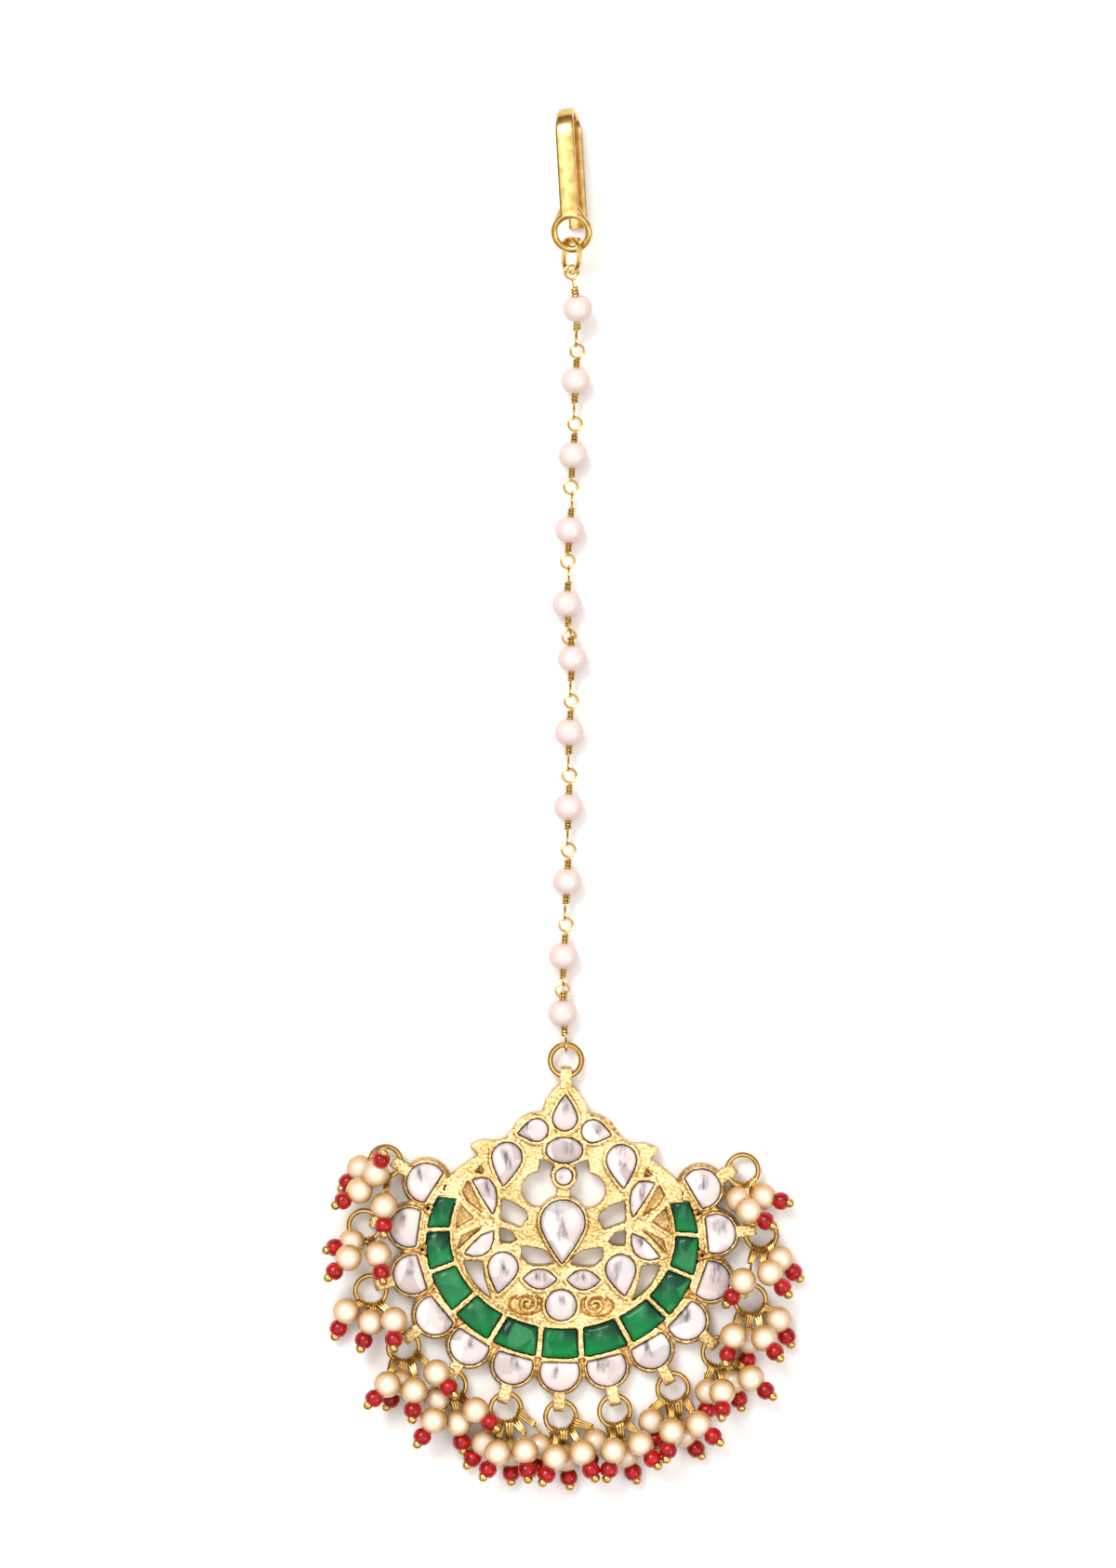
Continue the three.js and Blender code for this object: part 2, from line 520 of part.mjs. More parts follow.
// The hook: a flat band bent back on itself, with a ring soldered to its front limb. It is moved
// until the soldered ring laps the jump ring.
function hook() {
  const { width, thick, gap, front, back, lean, roll } = HOOK;
  const inner = gap / 2;
  const outer = inner + thick;
  const profile = new THREE.Shape();
  profile.moveTo(-outer, outer - back);
  profile.lineTo(-outer, 0);
  profile.absarc(0, 0, outer, Math.PI, 0, true);
  profile.lineTo(outer, outer - front);
  profile.lineTo(inner, outer - front);
  profile.lineTo(inner, 0);
  profile.absarc(0, 0, inner, 0, Math.PI, false);
  profile.lineTo(-inner, outer - back);
  const band = new THREE.ExtrudeGeometry(profile, { depth: width, bevelEnabled: false, curveSegments: 6 });
  band.translate(0, 0, -width / 2).rotateY(-Math.PI / 2);
  const dip = radians(HOOK_RING.dip);
  const ring = new THREE.TorusGeometry(HOOK_RING.radius, HOOK_RING.wire, WIRE_SIDES, ROUND).rotateX(dip);
  const seat = new THREE.Vector3(0, outer - front, (inner + outer) / 2);
  seat.add(new THREE.Vector3(0, -Math.cos(dip), -Math.sin(dip)).multiplyScalar(HOOK_RING.radius));
  ring.translate(seat.x, seat.y, seat.z);
  const { middle } = hookHeights();
  seat.applyAxisAngle(new THREE.Vector3(0, 1, 0), -radians(roll)).applyAxisAngle(new THREE.Vector3(0, 0, 1), radians(lean));
  const { x, y } = chainStart();
  const up = y + 2 * HOOK_LINK.radius + HOOK_RING.radius - HOOK_LINK.lap;
  return joined([band, ring].map(shape => {
    shape.rotateY(-radians(roll)).rotateZ(radians(lean));
    return solid(shape.translate(x - seat.x, up - seat.y, middle));
  }));
}

const part = new THREE.Group();
const pendant = new THREE.Group();
pendant.rotation.z = radians(SETTING_TURN);
part.add(pendant);
pendant.add(node('pendant_setting', setting(), 'setting'));
scallops().forEach((place, i) => {
  pendant.add(node(`rim_stone_${String(i + 1).padStart(2, '0')}`, cutStone(rimOutline(place)), 'clear'));
});
greenStones().forEach((corners, i) => {
  pendant.add(node(`green_stone_${String(i + 1).padStart(2, '0')}`, cutStone(corners), 'green'));
});
innerStones().forEach(({ name, corners }) => pendant.add(node(name, cutStone(corners), 'clear')));
CLUSTERS.forEach((row, i) => {
  part.add(node(`bead_cluster_${String(i + 1).padStart(2, '0')}`, cluster(i + 1), 'dropPearl'));
});
const topRing = topRingCentre();
const topWire = wireRing(TOP_RING.radius, TOP_RING.wire).translate(topRing.x, topRing.y, topRing.z);
part.add(node('pendant_jump_ring', solid(topWire), 'wire'));
part.add(node('pearl_chain', pearlChain(), 'chainPearl'));
part.add(node('hook_jump_ring', hookJumpRing(), 'wire'));
part.add(node('hook', hook(), 'wire'));
part.updateMatrixWorld(true);

export default part;
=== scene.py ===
import bpy
import numpy as np
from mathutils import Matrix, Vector


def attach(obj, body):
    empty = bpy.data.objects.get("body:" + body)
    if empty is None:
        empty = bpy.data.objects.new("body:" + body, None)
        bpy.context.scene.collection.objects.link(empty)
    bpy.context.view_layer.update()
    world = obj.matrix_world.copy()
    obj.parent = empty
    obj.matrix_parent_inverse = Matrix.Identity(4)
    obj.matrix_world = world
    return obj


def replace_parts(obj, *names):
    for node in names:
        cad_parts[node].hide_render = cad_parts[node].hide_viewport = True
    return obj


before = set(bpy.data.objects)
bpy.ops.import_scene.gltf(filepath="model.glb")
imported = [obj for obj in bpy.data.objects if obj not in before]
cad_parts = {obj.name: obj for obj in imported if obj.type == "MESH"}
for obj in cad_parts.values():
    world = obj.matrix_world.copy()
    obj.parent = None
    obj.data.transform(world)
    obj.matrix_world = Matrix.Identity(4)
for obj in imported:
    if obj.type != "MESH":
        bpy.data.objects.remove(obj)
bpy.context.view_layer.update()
MM = 0.001

# The cast setting, front. One gold casting of a crescent, a rim of scallops and a pierced crown.
# Its shape is a signed distance: metal where it is below nought, worked out on a grid of points
# in the setting's own frame, in millimetres, and meshed at the level nought.
SETTING_TURN = np.radians(-1.2)
LIP_LEVEL = 1.75
FIELD_LEVEL = 2.12
RIDGE_LEVEL = 2.32
LIP_WIDTH = 0.24
POCKET_FLOOR = 1.1
RECESS_FLOOR = 1.3
GRID_STEP = 0.15
RIM_ELLIPSE = (16.5, 13.7)
RIM_RADIUS = 2.65
RIM_STONE_RADIUS = 2.1
RIM_STONE_FLAT = 0.95
SCALLOP_ANGLES = np.radians([26.9, 5.85, -15.35, -35.4, -54, -72.4, -90])
CHANNEL_OUTER = (14.5, 12.2, 0.0)
CHANNEL_INNER = (12.18, 10.2, 1.0)
DIVIDER_WIDTH = 0.7
DIVIDERS = [(9.1, 9.9), (31.1, 29.5), (51.8, 49.8), (74.3, 70.8), (95.6, 91.7), (114.7, 112.5)]
CRESCENT_EDGE = (14.9, 12.7)
INNER_WALL, FIELD_WALL = 0.75, 0.5
HORN_TOP, FIELD_TOP = 9, 5
CENTRE_PEAR = (0, 2.35, 1.95, 0, -1.5)
CENTRE_SPREAD = 0.42
CENTRE_TOP = 2.75
SMALL_ROUND = (0, 7.2, 0.9)
SMALL_TOP = 2.45
CROWN_HALF = [
    (0.7, 17), (1.4, 16.4), (2.0, 15.5), (2.3, 14.8), (2.5, 14), (3.1, 13.95), (3.8, 13.85),
    (4.5, 13.5), (5.1, 13), (5.5, 12.4), (5.9, 11.8), (6.3, 11.3), (7.1, 10.9), (7.8, 10.85),
    (8.6, 10.95), (9.6, 10.65), (10.2, 10.3), (9.8, 9.75), (9.25, 9.3), (10.4, 8.5), (11.7, 7.5),
    (13.2, 6), (13.6, 4),
]
UPPER_LEAF = [
    (9.75, 6.65), (8.9, 6.85), (8, 6.75), (7.35, 5.9), (7.15, 4.9), (7.2, 3.9), (7.5, 3),
    (8.8, 4.95),
]
LOWER_LEAF = [
    (7.4, 1.2), (7.4, 0.2), (7.75, -0.8), (8.5, -1.4), (9.5, -1.55), (10.45, -1.25), (9.6, -0.2),
    (8.6, 0.75),
]
WINDOWS = [
    [(6.5, 4.6), (5.4, 4.2), (4.15, 3.4), (3.8, 2.75), (4.5, 1.65), (6.6, 2.5)],
    [(6.7, 1.5), (5.6, 1.15), (5, 0.3), (5.6, 0), (6.6, 0)],
    [(4.25, -0.4), (2.15, -0.75), (1.25, -1.5), (1, -2.15), (2.3, -2.35), (3.5, -2.25),
     (4.3, -1.5)],
    [(10.5, -2.15), (8.6, -2.25), (8.35, -4), (7.6, -6), (8.6, -5.2), (9.45, -4.3), (10.1, -3.2)],
    [(2.5, 8.9), (1.2, 8.35), (1.6, 7.2), (2.7, 7.3)],
]
KEYHOLE = (2.6, 5.7, 1.85)
RECESSES = [
    [(11.2, 4.2), (9.6, 2.55), (11.5, 1.35)],
    [(10.2, 6.5), (10.85, 5.4), (10.2, 4.3), (8.5, 3.05)],
    [(8.4, 1.75), (10.8, 0.6), (11.25, -0.9), (9.6, 0.75)],
    [(8.9, 8.2), (9.45, 7.45), (8.55, 7.35)],
]
VOLUTE_X, VOLUTE_Y, VOLUTE_ACROSS, VOLUTE_UP = 3.75, -6.6, 2.0, 1.2
VOLUTE_DEPTH = 0.55
RIB = [(6.87, 7.2), (6.82, -1)]
LOTUS = [(7.2, 1.65), (6.9, 2.2), (7.2, 2.75)]
CURL_START, CURL_SHRINK, CURL_OFF, CURL_HALF = 1.2, 0.1, 0.1, 0.14
BEZEL_OUT, BEZEL_HALF = 0.22, 0.24
STONE_WALL, SMALL_WALL, PANEL_WALL = 0.42, 0.55, 0.4
CENTRE_COLLAR, SMALL_COLLAR = 0.34, 0.5
POCKET_ROOM, WINDOW_ROOM = 0.06, 0.05
TOP_ROUND, CREASE_ROUND = 0.22, 0.1
GRID_TOP = 3.1


def arc(x, y, rx, ry, start, end, steps):
    """Points of an ellipse from one angle to another, in degrees: x + rx cos, y + ry sin."""
    t = np.radians(np.linspace(start, end, steps + 1))
    return np.stack([x + rx * np.cos(t), y + ry * np.sin(t)], axis=1)


def pear(x, y, radius, tip_x, tip_y, spread=0.0, steps=18):
    """A round end as an arc, whose ends run to the tip on parabolas that start along the arc."""
    heading = np.degrees(np.arctan2(tip_y - y, tip_x - x))
    round_end = arc(x, y, radius + spread, radius + spread, heading + 66, heading + 294, steps)
    length = np.hypot(tip_x - x, tip_y - y)
    tip = np.array([x, y]) + (1 + 1.4 * spread / length) * np.array([tip_x - x, tip_y - y])
    t = np.linspace(0, 1, 6)[1:, None]
    sides = []
    for end in (round_end[-1], round_end[0]):
        out = (end - [x, y]) / np.hypot(*(end - [x, y]))
        bulge = (end + tip) / 2 + 0.09 * (length - 0.4 * radius) * out
        sides.append((1 - t) ** 2 * end + 2 * t * (1 - t) * bulge + t**2 * tip)
    return np.vstack([round_end, sides[0], sides[1][-2::-1]])


def navette(x, y, half_length, half_height, steps=8):
    """Two parabolas that meet in a point at both ends: height times one less the share squared."""
    share = np.linspace(-1, 1, steps + 1)
    upper = np.stack([x + share * half_length, y + half_height * (1 - share**2)], axis=1)
    lower = np.stack([x - share * half_length, y - half_height * (1 - share**2)], axis=1)
    return np.vstack([upper[:-1], lower[:-1]])


def oval(x, y, rx, ry):
    """A whole ellipse as a closed outline."""
    return arc(x, y, rx, ry, 0, 360, 24)[1:]


def mirrored(corners):
    """The same outline on the other side of the setting's middle line."""
    return np.asarray(corners, float) * [-1, 1]


def both_sides(outlines):
    """Each outline and its twin on the other side."""
    return [twin for corners in outlines for twin in (np.array(corners, float), mirrored(corners))]


def scallops():
    """Centres and outward headings of the thirteen scallops, from the left horn to the right."""
    c, s = np.cos(SCALLOP_ANGLES), np.sin(SCALLOP_ANGLES)
    a, b = RIM_ELLIPSE
    right = np.stack([a * c, b * s, np.arctan2(s / b, c / a)], axis=1)
    left = right[:-1] * [-1, 1, -1] + [0, 0, np.pi]
    return np.vstack([left, right[::-1]])


def rim_outline(place, steps=18):
    """A disc with one flat side, which faces the channel."""
    x, y, heading = place
    half = np.degrees(np.arccos(-RIM_STONE_FLAT / RIM_STONE_RADIUS))
    middle = np.degrees(heading)
    return arc(x, y, RIM_STONE_RADIUS, RIM_STONE_RADIUS, middle - half, middle + half, steps)


def channel_edge(ring, start, end, steps):
    """Points on one edge of the channel between two dividers, given from its middle."""
    rx, ry, centre = ring
    margin = np.degrees(DIVIDER_WIDTH / (rx + ry))
    return arc(0, centre, rx, ry, start - 90 + margin, end - 90 - margin, steps)


def green_outlines(steps=6):
    """The eleven stones of the channel, each between two dividers, from the left horn round."""
    left = [(-outer, -inner) for outer, inner in DIVIDERS[::-1]]
    edges = left + DIVIDERS
    rows = []
    for a, b in zip(edges, edges[1:]):
        outer = channel_edge(CHANNEL_OUTER, a[0], b[0], steps)
        inner = channel_edge(CHANNEL_INNER, a[1], b[1], steps)
        rows.append(np.vstack([outer, inner[::-1]]))
    return rows


def path_distance(px, py, points, closed=True):
    """Distance from each point of the plane to the nearest side of a chain of corners."""
    corners = np.asarray(points, float)
    ends = np.roll(corners, -1, axis=0) if closed else corners[1:]
    nearest = np.full(px.shape, 1e9)
    for (ax, ay), (bx, by) in zip(corners, ends):
        ux, uy = bx - ax, by - ay
        along = np.clip(((px - ax) * ux + (py - ay) * uy) / (ux * ux + uy * uy + 1e-12), 0, 1)
        nearest = np.minimum(nearest, np.hypot(px - ax - along * ux, py - ay - along * uy))
    return nearest


def outline_distance(px, py, points):
    """As above for a closed outline, and below nought inside it, by counting crossings."""
    corners = np.asarray(points, float)
    inside = np.zeros(px.shape, bool)
    for (ax, ay), (bx, by) in zip(corners, np.roll(corners, -1, axis=0)):
        if ay != by:
            crosses = (ay > py) != (by > py)
            inside ^= crosses & (px < ax + (py - ay) * (bx - ax) / (by - ay))
    distance = path_distance(px, py, corners)
    return np.where(inside, -distance, distance)


def union(fields):
    """The nearest of several distances."""
    return np.minimum.reduce(list(fields))


def nearest_outline(px, py, outlines):
    """Distance to the nearest of several closed outlines, below nought inside any of them."""
    return union(outline_distance(px, py, corners) for corners in outlines)


def blend_cut(a, b, soft):
    """The larger of two distances, with the crease between them rounded over a width."""
    h = np.clip(0.5 - 0.5 * (b - a) / soft, 0, 1)
    return b + (a - b) * h + soft * h * (1 - h)


def ridge(distance, centre, half_width):
    """A round bead along a line: one on the line, falling as a half circle to nought beside it."""
    return np.sqrt(np.clip(1 - ((distance - centre) / half_width) ** 2, 0, 1))


def net_mesh(field, origin, step):
    """Meshes the nought level of a grid: one corner in each cell that it crosses, at the mean of
    the crossings of the cell's sides, and one face round each side of the grid that it crosses.
    A crossing keeps a little way off the ends of its side, so that no two corners coincide."""
    below = field < 0
    cells = tuple(n - 1 for n in field.shape)
    total = np.zeros(cells + (3,))
    count = np.zeros(cells)
    for axis in range(3):
        others = [k for k in range(3) if k != axis]
        for shift in ((0, 0), (0, 1), (1, 0), (1, 1)):
            near = [slice(0, n) for n in cells]
            for k, by in zip(others, shift):
                near[k] = slice(by, cells[k] + by)
            far = list(near)
            far[axis] = slice(1, cells[axis] + 1)
            first, second = field[tuple(near)], field[tuple(far)]
            crossed = below[tuple(near)] != below[tuple(far)]
            share = np.clip(first / np.where(crossed, first - second, 1), 0.05, 0.95)
            total[..., axis] += np.where(crossed, share, 0)
            for k, by in zip(others, shift):
                total[..., k] += crossed * by
            count += crossed
    used = count > 0
    index = np.full(cells, -1)
    index[used] = np.arange(used.sum())
    place = np.stack(np.nonzero(used), axis=1) + total[used] / count[used][:, None]
    faces = []
    for axis in range(3):
        others = [k for k in range(3) if k != axis]
        near = [slice(1, n - 1) for n in field.shape]
        near[axis] = slice(0, cells[axis])
        far = list(near)
        far[axis] = slice(1, cells[axis] + 1)
        inside = below[tuple(near)]
        hits = np.stack(np.nonzero(inside != below[tuple(far)]), axis=1)
        corners = []
        for shift in ((0, 0), (1, 0), (1, 1), (0, 1)):
            cell = hits.copy()
            cell[:, others] += shift
            corners.append(index[tuple(cell.T)])
        quad = np.stack(corners, axis=1)
        flip = inside[tuple(hits.T)] ^ (axis == 1)
        quad[~flip] = quad[~flip][:, ::-1]
        faces.append(quad)
    return np.asarray(origin) + place * step, np.vstack(faces)


def turned(vertices):
    """Takes points from the setting's own frame, in millimetres, to the row frame, in metres."""
    c, s = np.cos(SETTING_TURN), np.sin(SETTING_TURN)
    x, y, z = np.asarray(vertices, float).T
    return np.stack([x * c - y * s, x * s + y * c, z], axis=1) * MM


def into_scene(name, data):
    """A new object in the scene with the given data."""
    thing = bpy.data.objects.new(name, data)
    bpy.context.scene.collection.objects.link(thing)
    return thing


def new_piece(name, vertices, faces, material, sharp=35.0):
    """A mesh object from whole arrays of corners and faces, that rides on the object's body."""
    mesh = bpy.data.meshes.new(name)
    faces = [faces] if isinstance(faces, np.ndarray) else faces
    sizes = np.concatenate([np.full(len(part), part.shape[1]) for part in faces])
    loops = np.concatenate([part.ravel() for part in faces]).astype(np.int32)
    mesh.vertices.add(len(vertices))
    mesh.vertices.foreach_set("co", np.asarray(vertices, np.float32).ravel())
    mesh.loops.add(len(loops))
    mesh.loops.foreach_set("vertex_index", loops)
    mesh.polygons.add(len(sizes))
    starts = np.concatenate([[0], np.cumsum(sizes)[:-1]])
    mesh.polygons.foreach_set("loop_start", starts.astype(np.int32))
    mesh.polygons.foreach_set("use_smooth", np.full(len(sizes), True))
    mesh.update(calc_edges=True)
    mesh.validate()
    mesh.set_sharp_from_angle(angle=np.radians(sharp))
    mesh.materials.append(material)
    piece = into_scene(name, mesh)
    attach(piece, "root")
    return piece


def group_nodes(name, inputs, outputs):
    """An empty shader node group, its given inputs, and the node that takes its outputs. A value
    of three numbers makes a colour input, and one number a plain one."""
    tree = bpy.data.node_groups.new(name, "ShaderNodeTree")
    for title, value in inputs.items():
        kind, value = ("Color", (*value, 1)) if isinstance(value, tuple) else ("Float", value)
        kind = "NodeSocket" + kind
        socket = tree.interface.new_socket(name=title, in_out="INPUT", socket_type=kind)
        socket.default_value = value
    for title, kind in outputs:
        kind = "NodeSocket" + kind
        tree.interface.new_socket(name=title, in_out="OUTPUT", socket_type=kind)
    return tree, tree.nodes.new("NodeGroupInput").outputs, tree.nodes.new("NodeGroupOutput")


def fill(tree, node, numbered=(), **named):
    """Sets a node's properties and its named and numbered inputs: another node's output is linked
    to the input, and anything else is set as its value."""
    for key, value in [*named.items(), *numbered]:
        if isinstance(key, str) and hasattr(node, key):
            setattr(node, key, value)
            continue
        socket = node.inputs[key.replace("_", " ") if isinstance(key, str) else key]
        if isinstance(value, bpy.types.NodeSocket):
            tree.links.new(value, socket)
        else:
            socket.default_value = (*value, 1) if socket.type == "RGBA" else value
    return node


def add_node(tree, kind, numbered=(), **named):
    """Adds a node and fills it."""
    return fill(tree, tree.nodes.new("ShaderNode" + kind), numbered, **named)


def object_place(tree):
    """The place of each point in the object's own coordinates."""
    return add_node(tree, "TexCoord").outputs["Object"]


def noise(tree, place, scale, detail):
    """Noise at so many waves a metre."""
    return add_node(tree, "TexNoise", Vector=place, Scale=scale, Detail=detail).outputs


def ranged(tree, value, low, high, to_low=0.0, to_high=1.0, **kind):
    """Takes a value from the range low to high to another range, and holds it within that."""
    return add_node(tree, "MapRange", Value=value, From_Min=low, From_Max=high, To_Min=to_low,
                    To_Max=to_high, **kind).outputs[0]


def maths(tree, operation, first, second=0.0):
    """Two values, added, multiplied and so on."""
    return add_node(tree, "Math", [(0, first), (1, second)], operation=operation).outputs[0]


def mixed(tree, share, first, second):
    """The first colour where the share is nought, and the second where it is one."""
    both = [(6, first), (7, second)]
    return add_node(tree, "Mix", both, data_type="RGBA", Factor=share).outputs[2]


def new_material(name):
    """A material, its node tree and its shader."""
    material = bpy.data.materials.new(name)
    material.use_nodes = True
    return material, material.node_tree, material.node_tree.nodes["Principled BSDF"]


# Grain of the metal and a painted shade: a group that both golds use. Fine noise lifts the surface,
# and with a broad noise it takes the colour from the deep gold to the light one. Below a height the
# colour is darkened to a painted shade, the shade that falls in the hollows of the casting.
SHADE_DEPTH = 0.0009
GRAIN_DEPTH = 0.00016


def metal_group():
    """The colour runs from deep to light with a fine noise over a broad one, and below a height it
    turns to a painted shade, the shade of the hollows. The roughness follows the fine noise."""
    tree, given, end = group_nodes(
        "gold_grain_and_shade",
        {"Grain Scale": 4000.0, "Light": (0.9, 0.7, 0.4), "Deep": (0.6, 0.4, 0.15), "Smooth": 0.2,
         "Coarse": 0.45, "Shade": (0.34, 0.19, 0.05), "Shade Top": -1.0},
        [("Color", "Color"), ("Roughness", "Float"), ("Height", "Float")],
    )
    place = object_place(tree)
    fine = noise(tree, place, given["Grain Scale"], 3.0)["Fac"]
    broad = noise(tree, place, 350.0, 4.0)["Fac"]
    tone = add_node(tree, "Mix", [(0, 0.35), (2, fine), (3, broad)]).outputs[0]
    colour = mixed(tree, ranged(tree, tone, 0.4, 0.58), given["Deep"], given["Light"])
    height = add_node(tree, "SeparateXYZ", Vector=place).outputs["Z"]
    # Painted shade: below the shade top the colour turns towards the shade colour, as if in shadow.
    below = maths(tree, "SUBTRACT", given["Shade Top"], height)
    painted_shade = ranged(tree, below, 0.0, SHADE_DEPTH, 0.0, 0.7)
    fill(tree, end, Color=mixed(tree, painted_shade, colour, given["Shade"]), Height=fine,
         Roughness=ranged(tree, fine, 0.0, 1.0, given["Smooth"], given["Coarse"]))
    return tree


gold_grain_and_shade = metal_group()


def gold_material(name, light, deep, grain, smooth, coarse, bump, shade_top=-1.0):
    """Metal whose colour, roughness and relief come from the grain and shade group; below the shade
    top its colour takes the painted shade.
    """
    material, tree, shader = new_material(name)
    tone_and_shade = add_node(
        tree, "Group", node_tree=gold_grain_and_shade, Grain_Scale=grain, Light=light, Deep=deep,
        Smooth=smooth, Coarse=coarse, Shade_Top=shade_top).outputs
    relief = add_node(tree, "Bump", Height=tone_and_shade["Height"], Strength=bump, Distance=GRAIN_DEPTH)
    fill(tree, shader, Metallic=1.0, Base_Color=tone_and_shade["Color"], Roughness=tone_and_shade["Roughness"],
         Normal=relief.outputs["Normal"])
    return material


# The cast gold takes the painted shade below two millimetres: in its pockets, windows and recesses
# and down its low walls.
cast_gold = gold_material(
    "cast_gold", light=(0.99, 0.76, 0.4), deep=(0.53, 0.32, 0.09), grain=3300.0, smooth=0.24,
    coarse=0.5, bump=1.0, shade_top=0.002)

stone_rows = []
for name, corners, twin in (
    ("top_pear_stone", pear(0, 13.4, 1.3, 0, 15.9), False),
    ("crown_drop_stone", pear(3, 12.1, 1.2, 5, 11.7), True),
    ("oval_stone", oval(0, 10, 1.95, 1.35), False),
    ("small_round_stone", oval(*SMALL_ROUND, SMALL_ROUND[2]), False),
    ("upper_pear_stone", pear(6.13, 9.1, 1.6, 6.45, 6.05), True),
    ("centre_pear_stone", pear(*CENTRE_PEAR), False),
    ("lower_pear_stone", pear(6.3, -2.65, 1.6, 6.8, -5.45), True),
    ("navette_stone", navette(2.33, -3.83, 1.8, 1.05), True),
    ("base_round_stone", oval(0, -6.6, 1.65, 1.65), False),
    ("upper_leaf_stone", UPPER_LEAF, True),
    ("lower_leaf_stone", LOWER_LEAF, True),
):
    if twin:
        stone_rows += [(name + "_left", mirrored(corners)), (name + "_right", corners)]
    else:
        stone_rows.append((name, corners))
rim_rows = [rim_outline(place) for place in scallops()]
green_rows = green_outlines()


def grid(low, high):
    """Points of the plane from one corner to the other, a grid step apart."""
    xs = np.arange(low[0], high[0] + GRID_STEP, GRID_STEP)
    ys = np.arange(low[1], high[1] + GRID_STEP, GRID_STEP)
    return np.meshgrid(xs, ys, indexing="ij")


def cast(name, px, py, outline, top, pockets, recess):
    """Metal inside an outline and between the floor and a top that varies, less the pockets."""
    zs = np.arange(-2 * GRID_STEP, GRID_TOP, GRID_STEP)
    z = zs[None, None, :]
    side = outline[:, :, None] + 0 * z
    metal = blend_cut(side, z - top[:, :, None], TOP_ROUND)
    metal = blend_cut(metal, -z + 0 * side, CREASE_ROUND)
    for distance, floor in ((pockets, POCKET_FLOOR), (recess, RECESS_FLOOR)):
        hollow = np.maximum(distance[:, :, None], floor - z)
        metal = blend_cut(metal, -hollow, CREASE_ROUND)
    vertices, faces = net_mesh(metal, (px[0, 0], py[0, 0], zs[0]), GRID_STEP)
    vertices[:, 2] = np.clip(vertices[:, 2], 0, None)
    return new_piece(name, turned(vertices), faces, cast_gold, sharp=60.0)


def inner_ellipse(px, py, wall):
    """Distance from the channel's inner edge, drawn in by the width of a wall."""
    rx, ry, centre = CHANNEL_INNER
    return outline_distance(px, py, arc(0, centre, rx - wall, ry - wall, 0, 360, 90))


def crescent():
    """The channel and the scalloped rim: their outer outline less the field inside the crescent."""
    px, py = grid((-19.8, -17), (19.8, 9.4))
    body = outline_distance(px, py, arc(0, 0, *CRESCENT_EDGE, 158, 382, 70))
    rims = [np.hypot(px - x, py - y) - RIM_RADIUS for x, y, _ in scallops()]
    outer = union([body, *rims])
    outline = np.maximum(np.maximum(outer, -inner_ellipse(px, py, INNER_WALL)), py - HORN_TOP)
    stones = nearest_outline(px, py, rim_rows + green_rows)
    lip = LIP_LEVEL + (FIELD_LEVEL - LIP_LEVEL) * np.clip((-outer - LIP_WIDTH) / 0.08, 0, 1)
    edge = ridge(stones, BEZEL_OUT, BEZEL_HALF) * (-outer > LIP_WIDTH)
    top = lip + (RIDGE_LEVEL - FIELD_LEVEL) * edge
    no_recess = np.full(px.shape, 9.0)
    return cast("crescent", px, py, outline, top, stones - POCKET_ROOM, no_recess)


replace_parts(crescent(), "pendant_setting")


def crown():
    """The pierced field inside the crescent and the crown above it, with ridges round its stones,
    windows and outline, sunk panels, and a spiral in each of the two panels at its foot."""
    px, py = grid((-14.2, -9.9), (14.2, 17.4))
    half = np.array(CROWN_HALF, float)
    head = outline_distance(px, py, np.vstack([half, mirrored(half)[::-1]]))
    outline = union([head, np.maximum(inner_ellipse(px, py, FIELD_WALL), py - FIELD_TOP)])
    centre = outline_distance(px, py, pear(*CENTRE_PEAR, spread=CENTRE_SPREAD))
    stones = union([nearest_outline(px, py, [corners for _, corners in stone_rows]), centre])
    small = np.hypot(px - SMALL_ROUND[0], py - SMALL_ROUND[1]) - SMALL_ROUND[2]

    rounds = union(np.hypot(px - side * KEYHOLE[0], py - KEYHOLE[1]) - KEYHOLE[2]
                   for side in (-1, 1))
    windows = union([nearest_outline(px, py, both_sides(WINDOWS)) - WINDOW_ROOM, rounds])
    windows = np.maximum(np.maximum(windows, SMALL_WALL - small), STONE_WALL - stones)
    recess = nearest_outline(px, py, both_sides(RECESSES))

    turn = np.linspace(0, 3.6 * np.pi, 60)
    curl = CURL_START - CURL_SHRINK * turn
    spiral = np.stack([VOLUTE_X - CURL_OFF + curl * np.cos(turn + 0.6),
                       VOLUTE_Y + CURL_OFF + curl * np.sin(turn + 0.6)], axis=1)
    curls, ribs, lotus = [
        union(path_distance(px, py, line, closed=False) for line in both_sides([path]))
        for path in (spiral, RIB, LOTUS)
    ]
    ovals = union(np.hypot((px - side * VOLUTE_X) / VOLUTE_ACROSS, (py - VOLUTE_Y) / VOLUTE_UP) - 1
                  for side in (-1, 1))
    ovals = np.maximum(ovals * VOLUTE_UP, PANEL_WALL - stones)
    carved = np.clip(-ovals / 0.2, 0, 1) * np.clip((curls - CURL_HALF) / 0.1, 0, 1)

    # Each ridge is a share of the full height, and lies some way out from its line.
    edge = np.maximum.reduce([
        ridge(stones, BEZEL_OUT, 0.26), 0.5 * ridge(windows, BEZEL_OUT, BEZEL_HALF),
        0.8 * ridge(ribs, 0, 0.3), 0.9 * ridge(lotus, 0, 0.4), 0.7 * ridge(recess, 0.2, 0.22),
    ])
    top = FIELD_LEVEL + (RIDGE_LEVEL - FIELD_LEVEL) * edge - VOLUTE_DEPTH * carved
    top = np.maximum(top, np.where(centre < CENTRE_COLLAR, CENTRE_TOP, 0))
    top = np.maximum(top, np.where(small < SMALL_COLLAR, SMALL_TOP, 0))
    solid = np.maximum(outline, -windows)
    return cast("crown", px, py, solid, top, stones - POCKET_ROOM, recess)


crown()


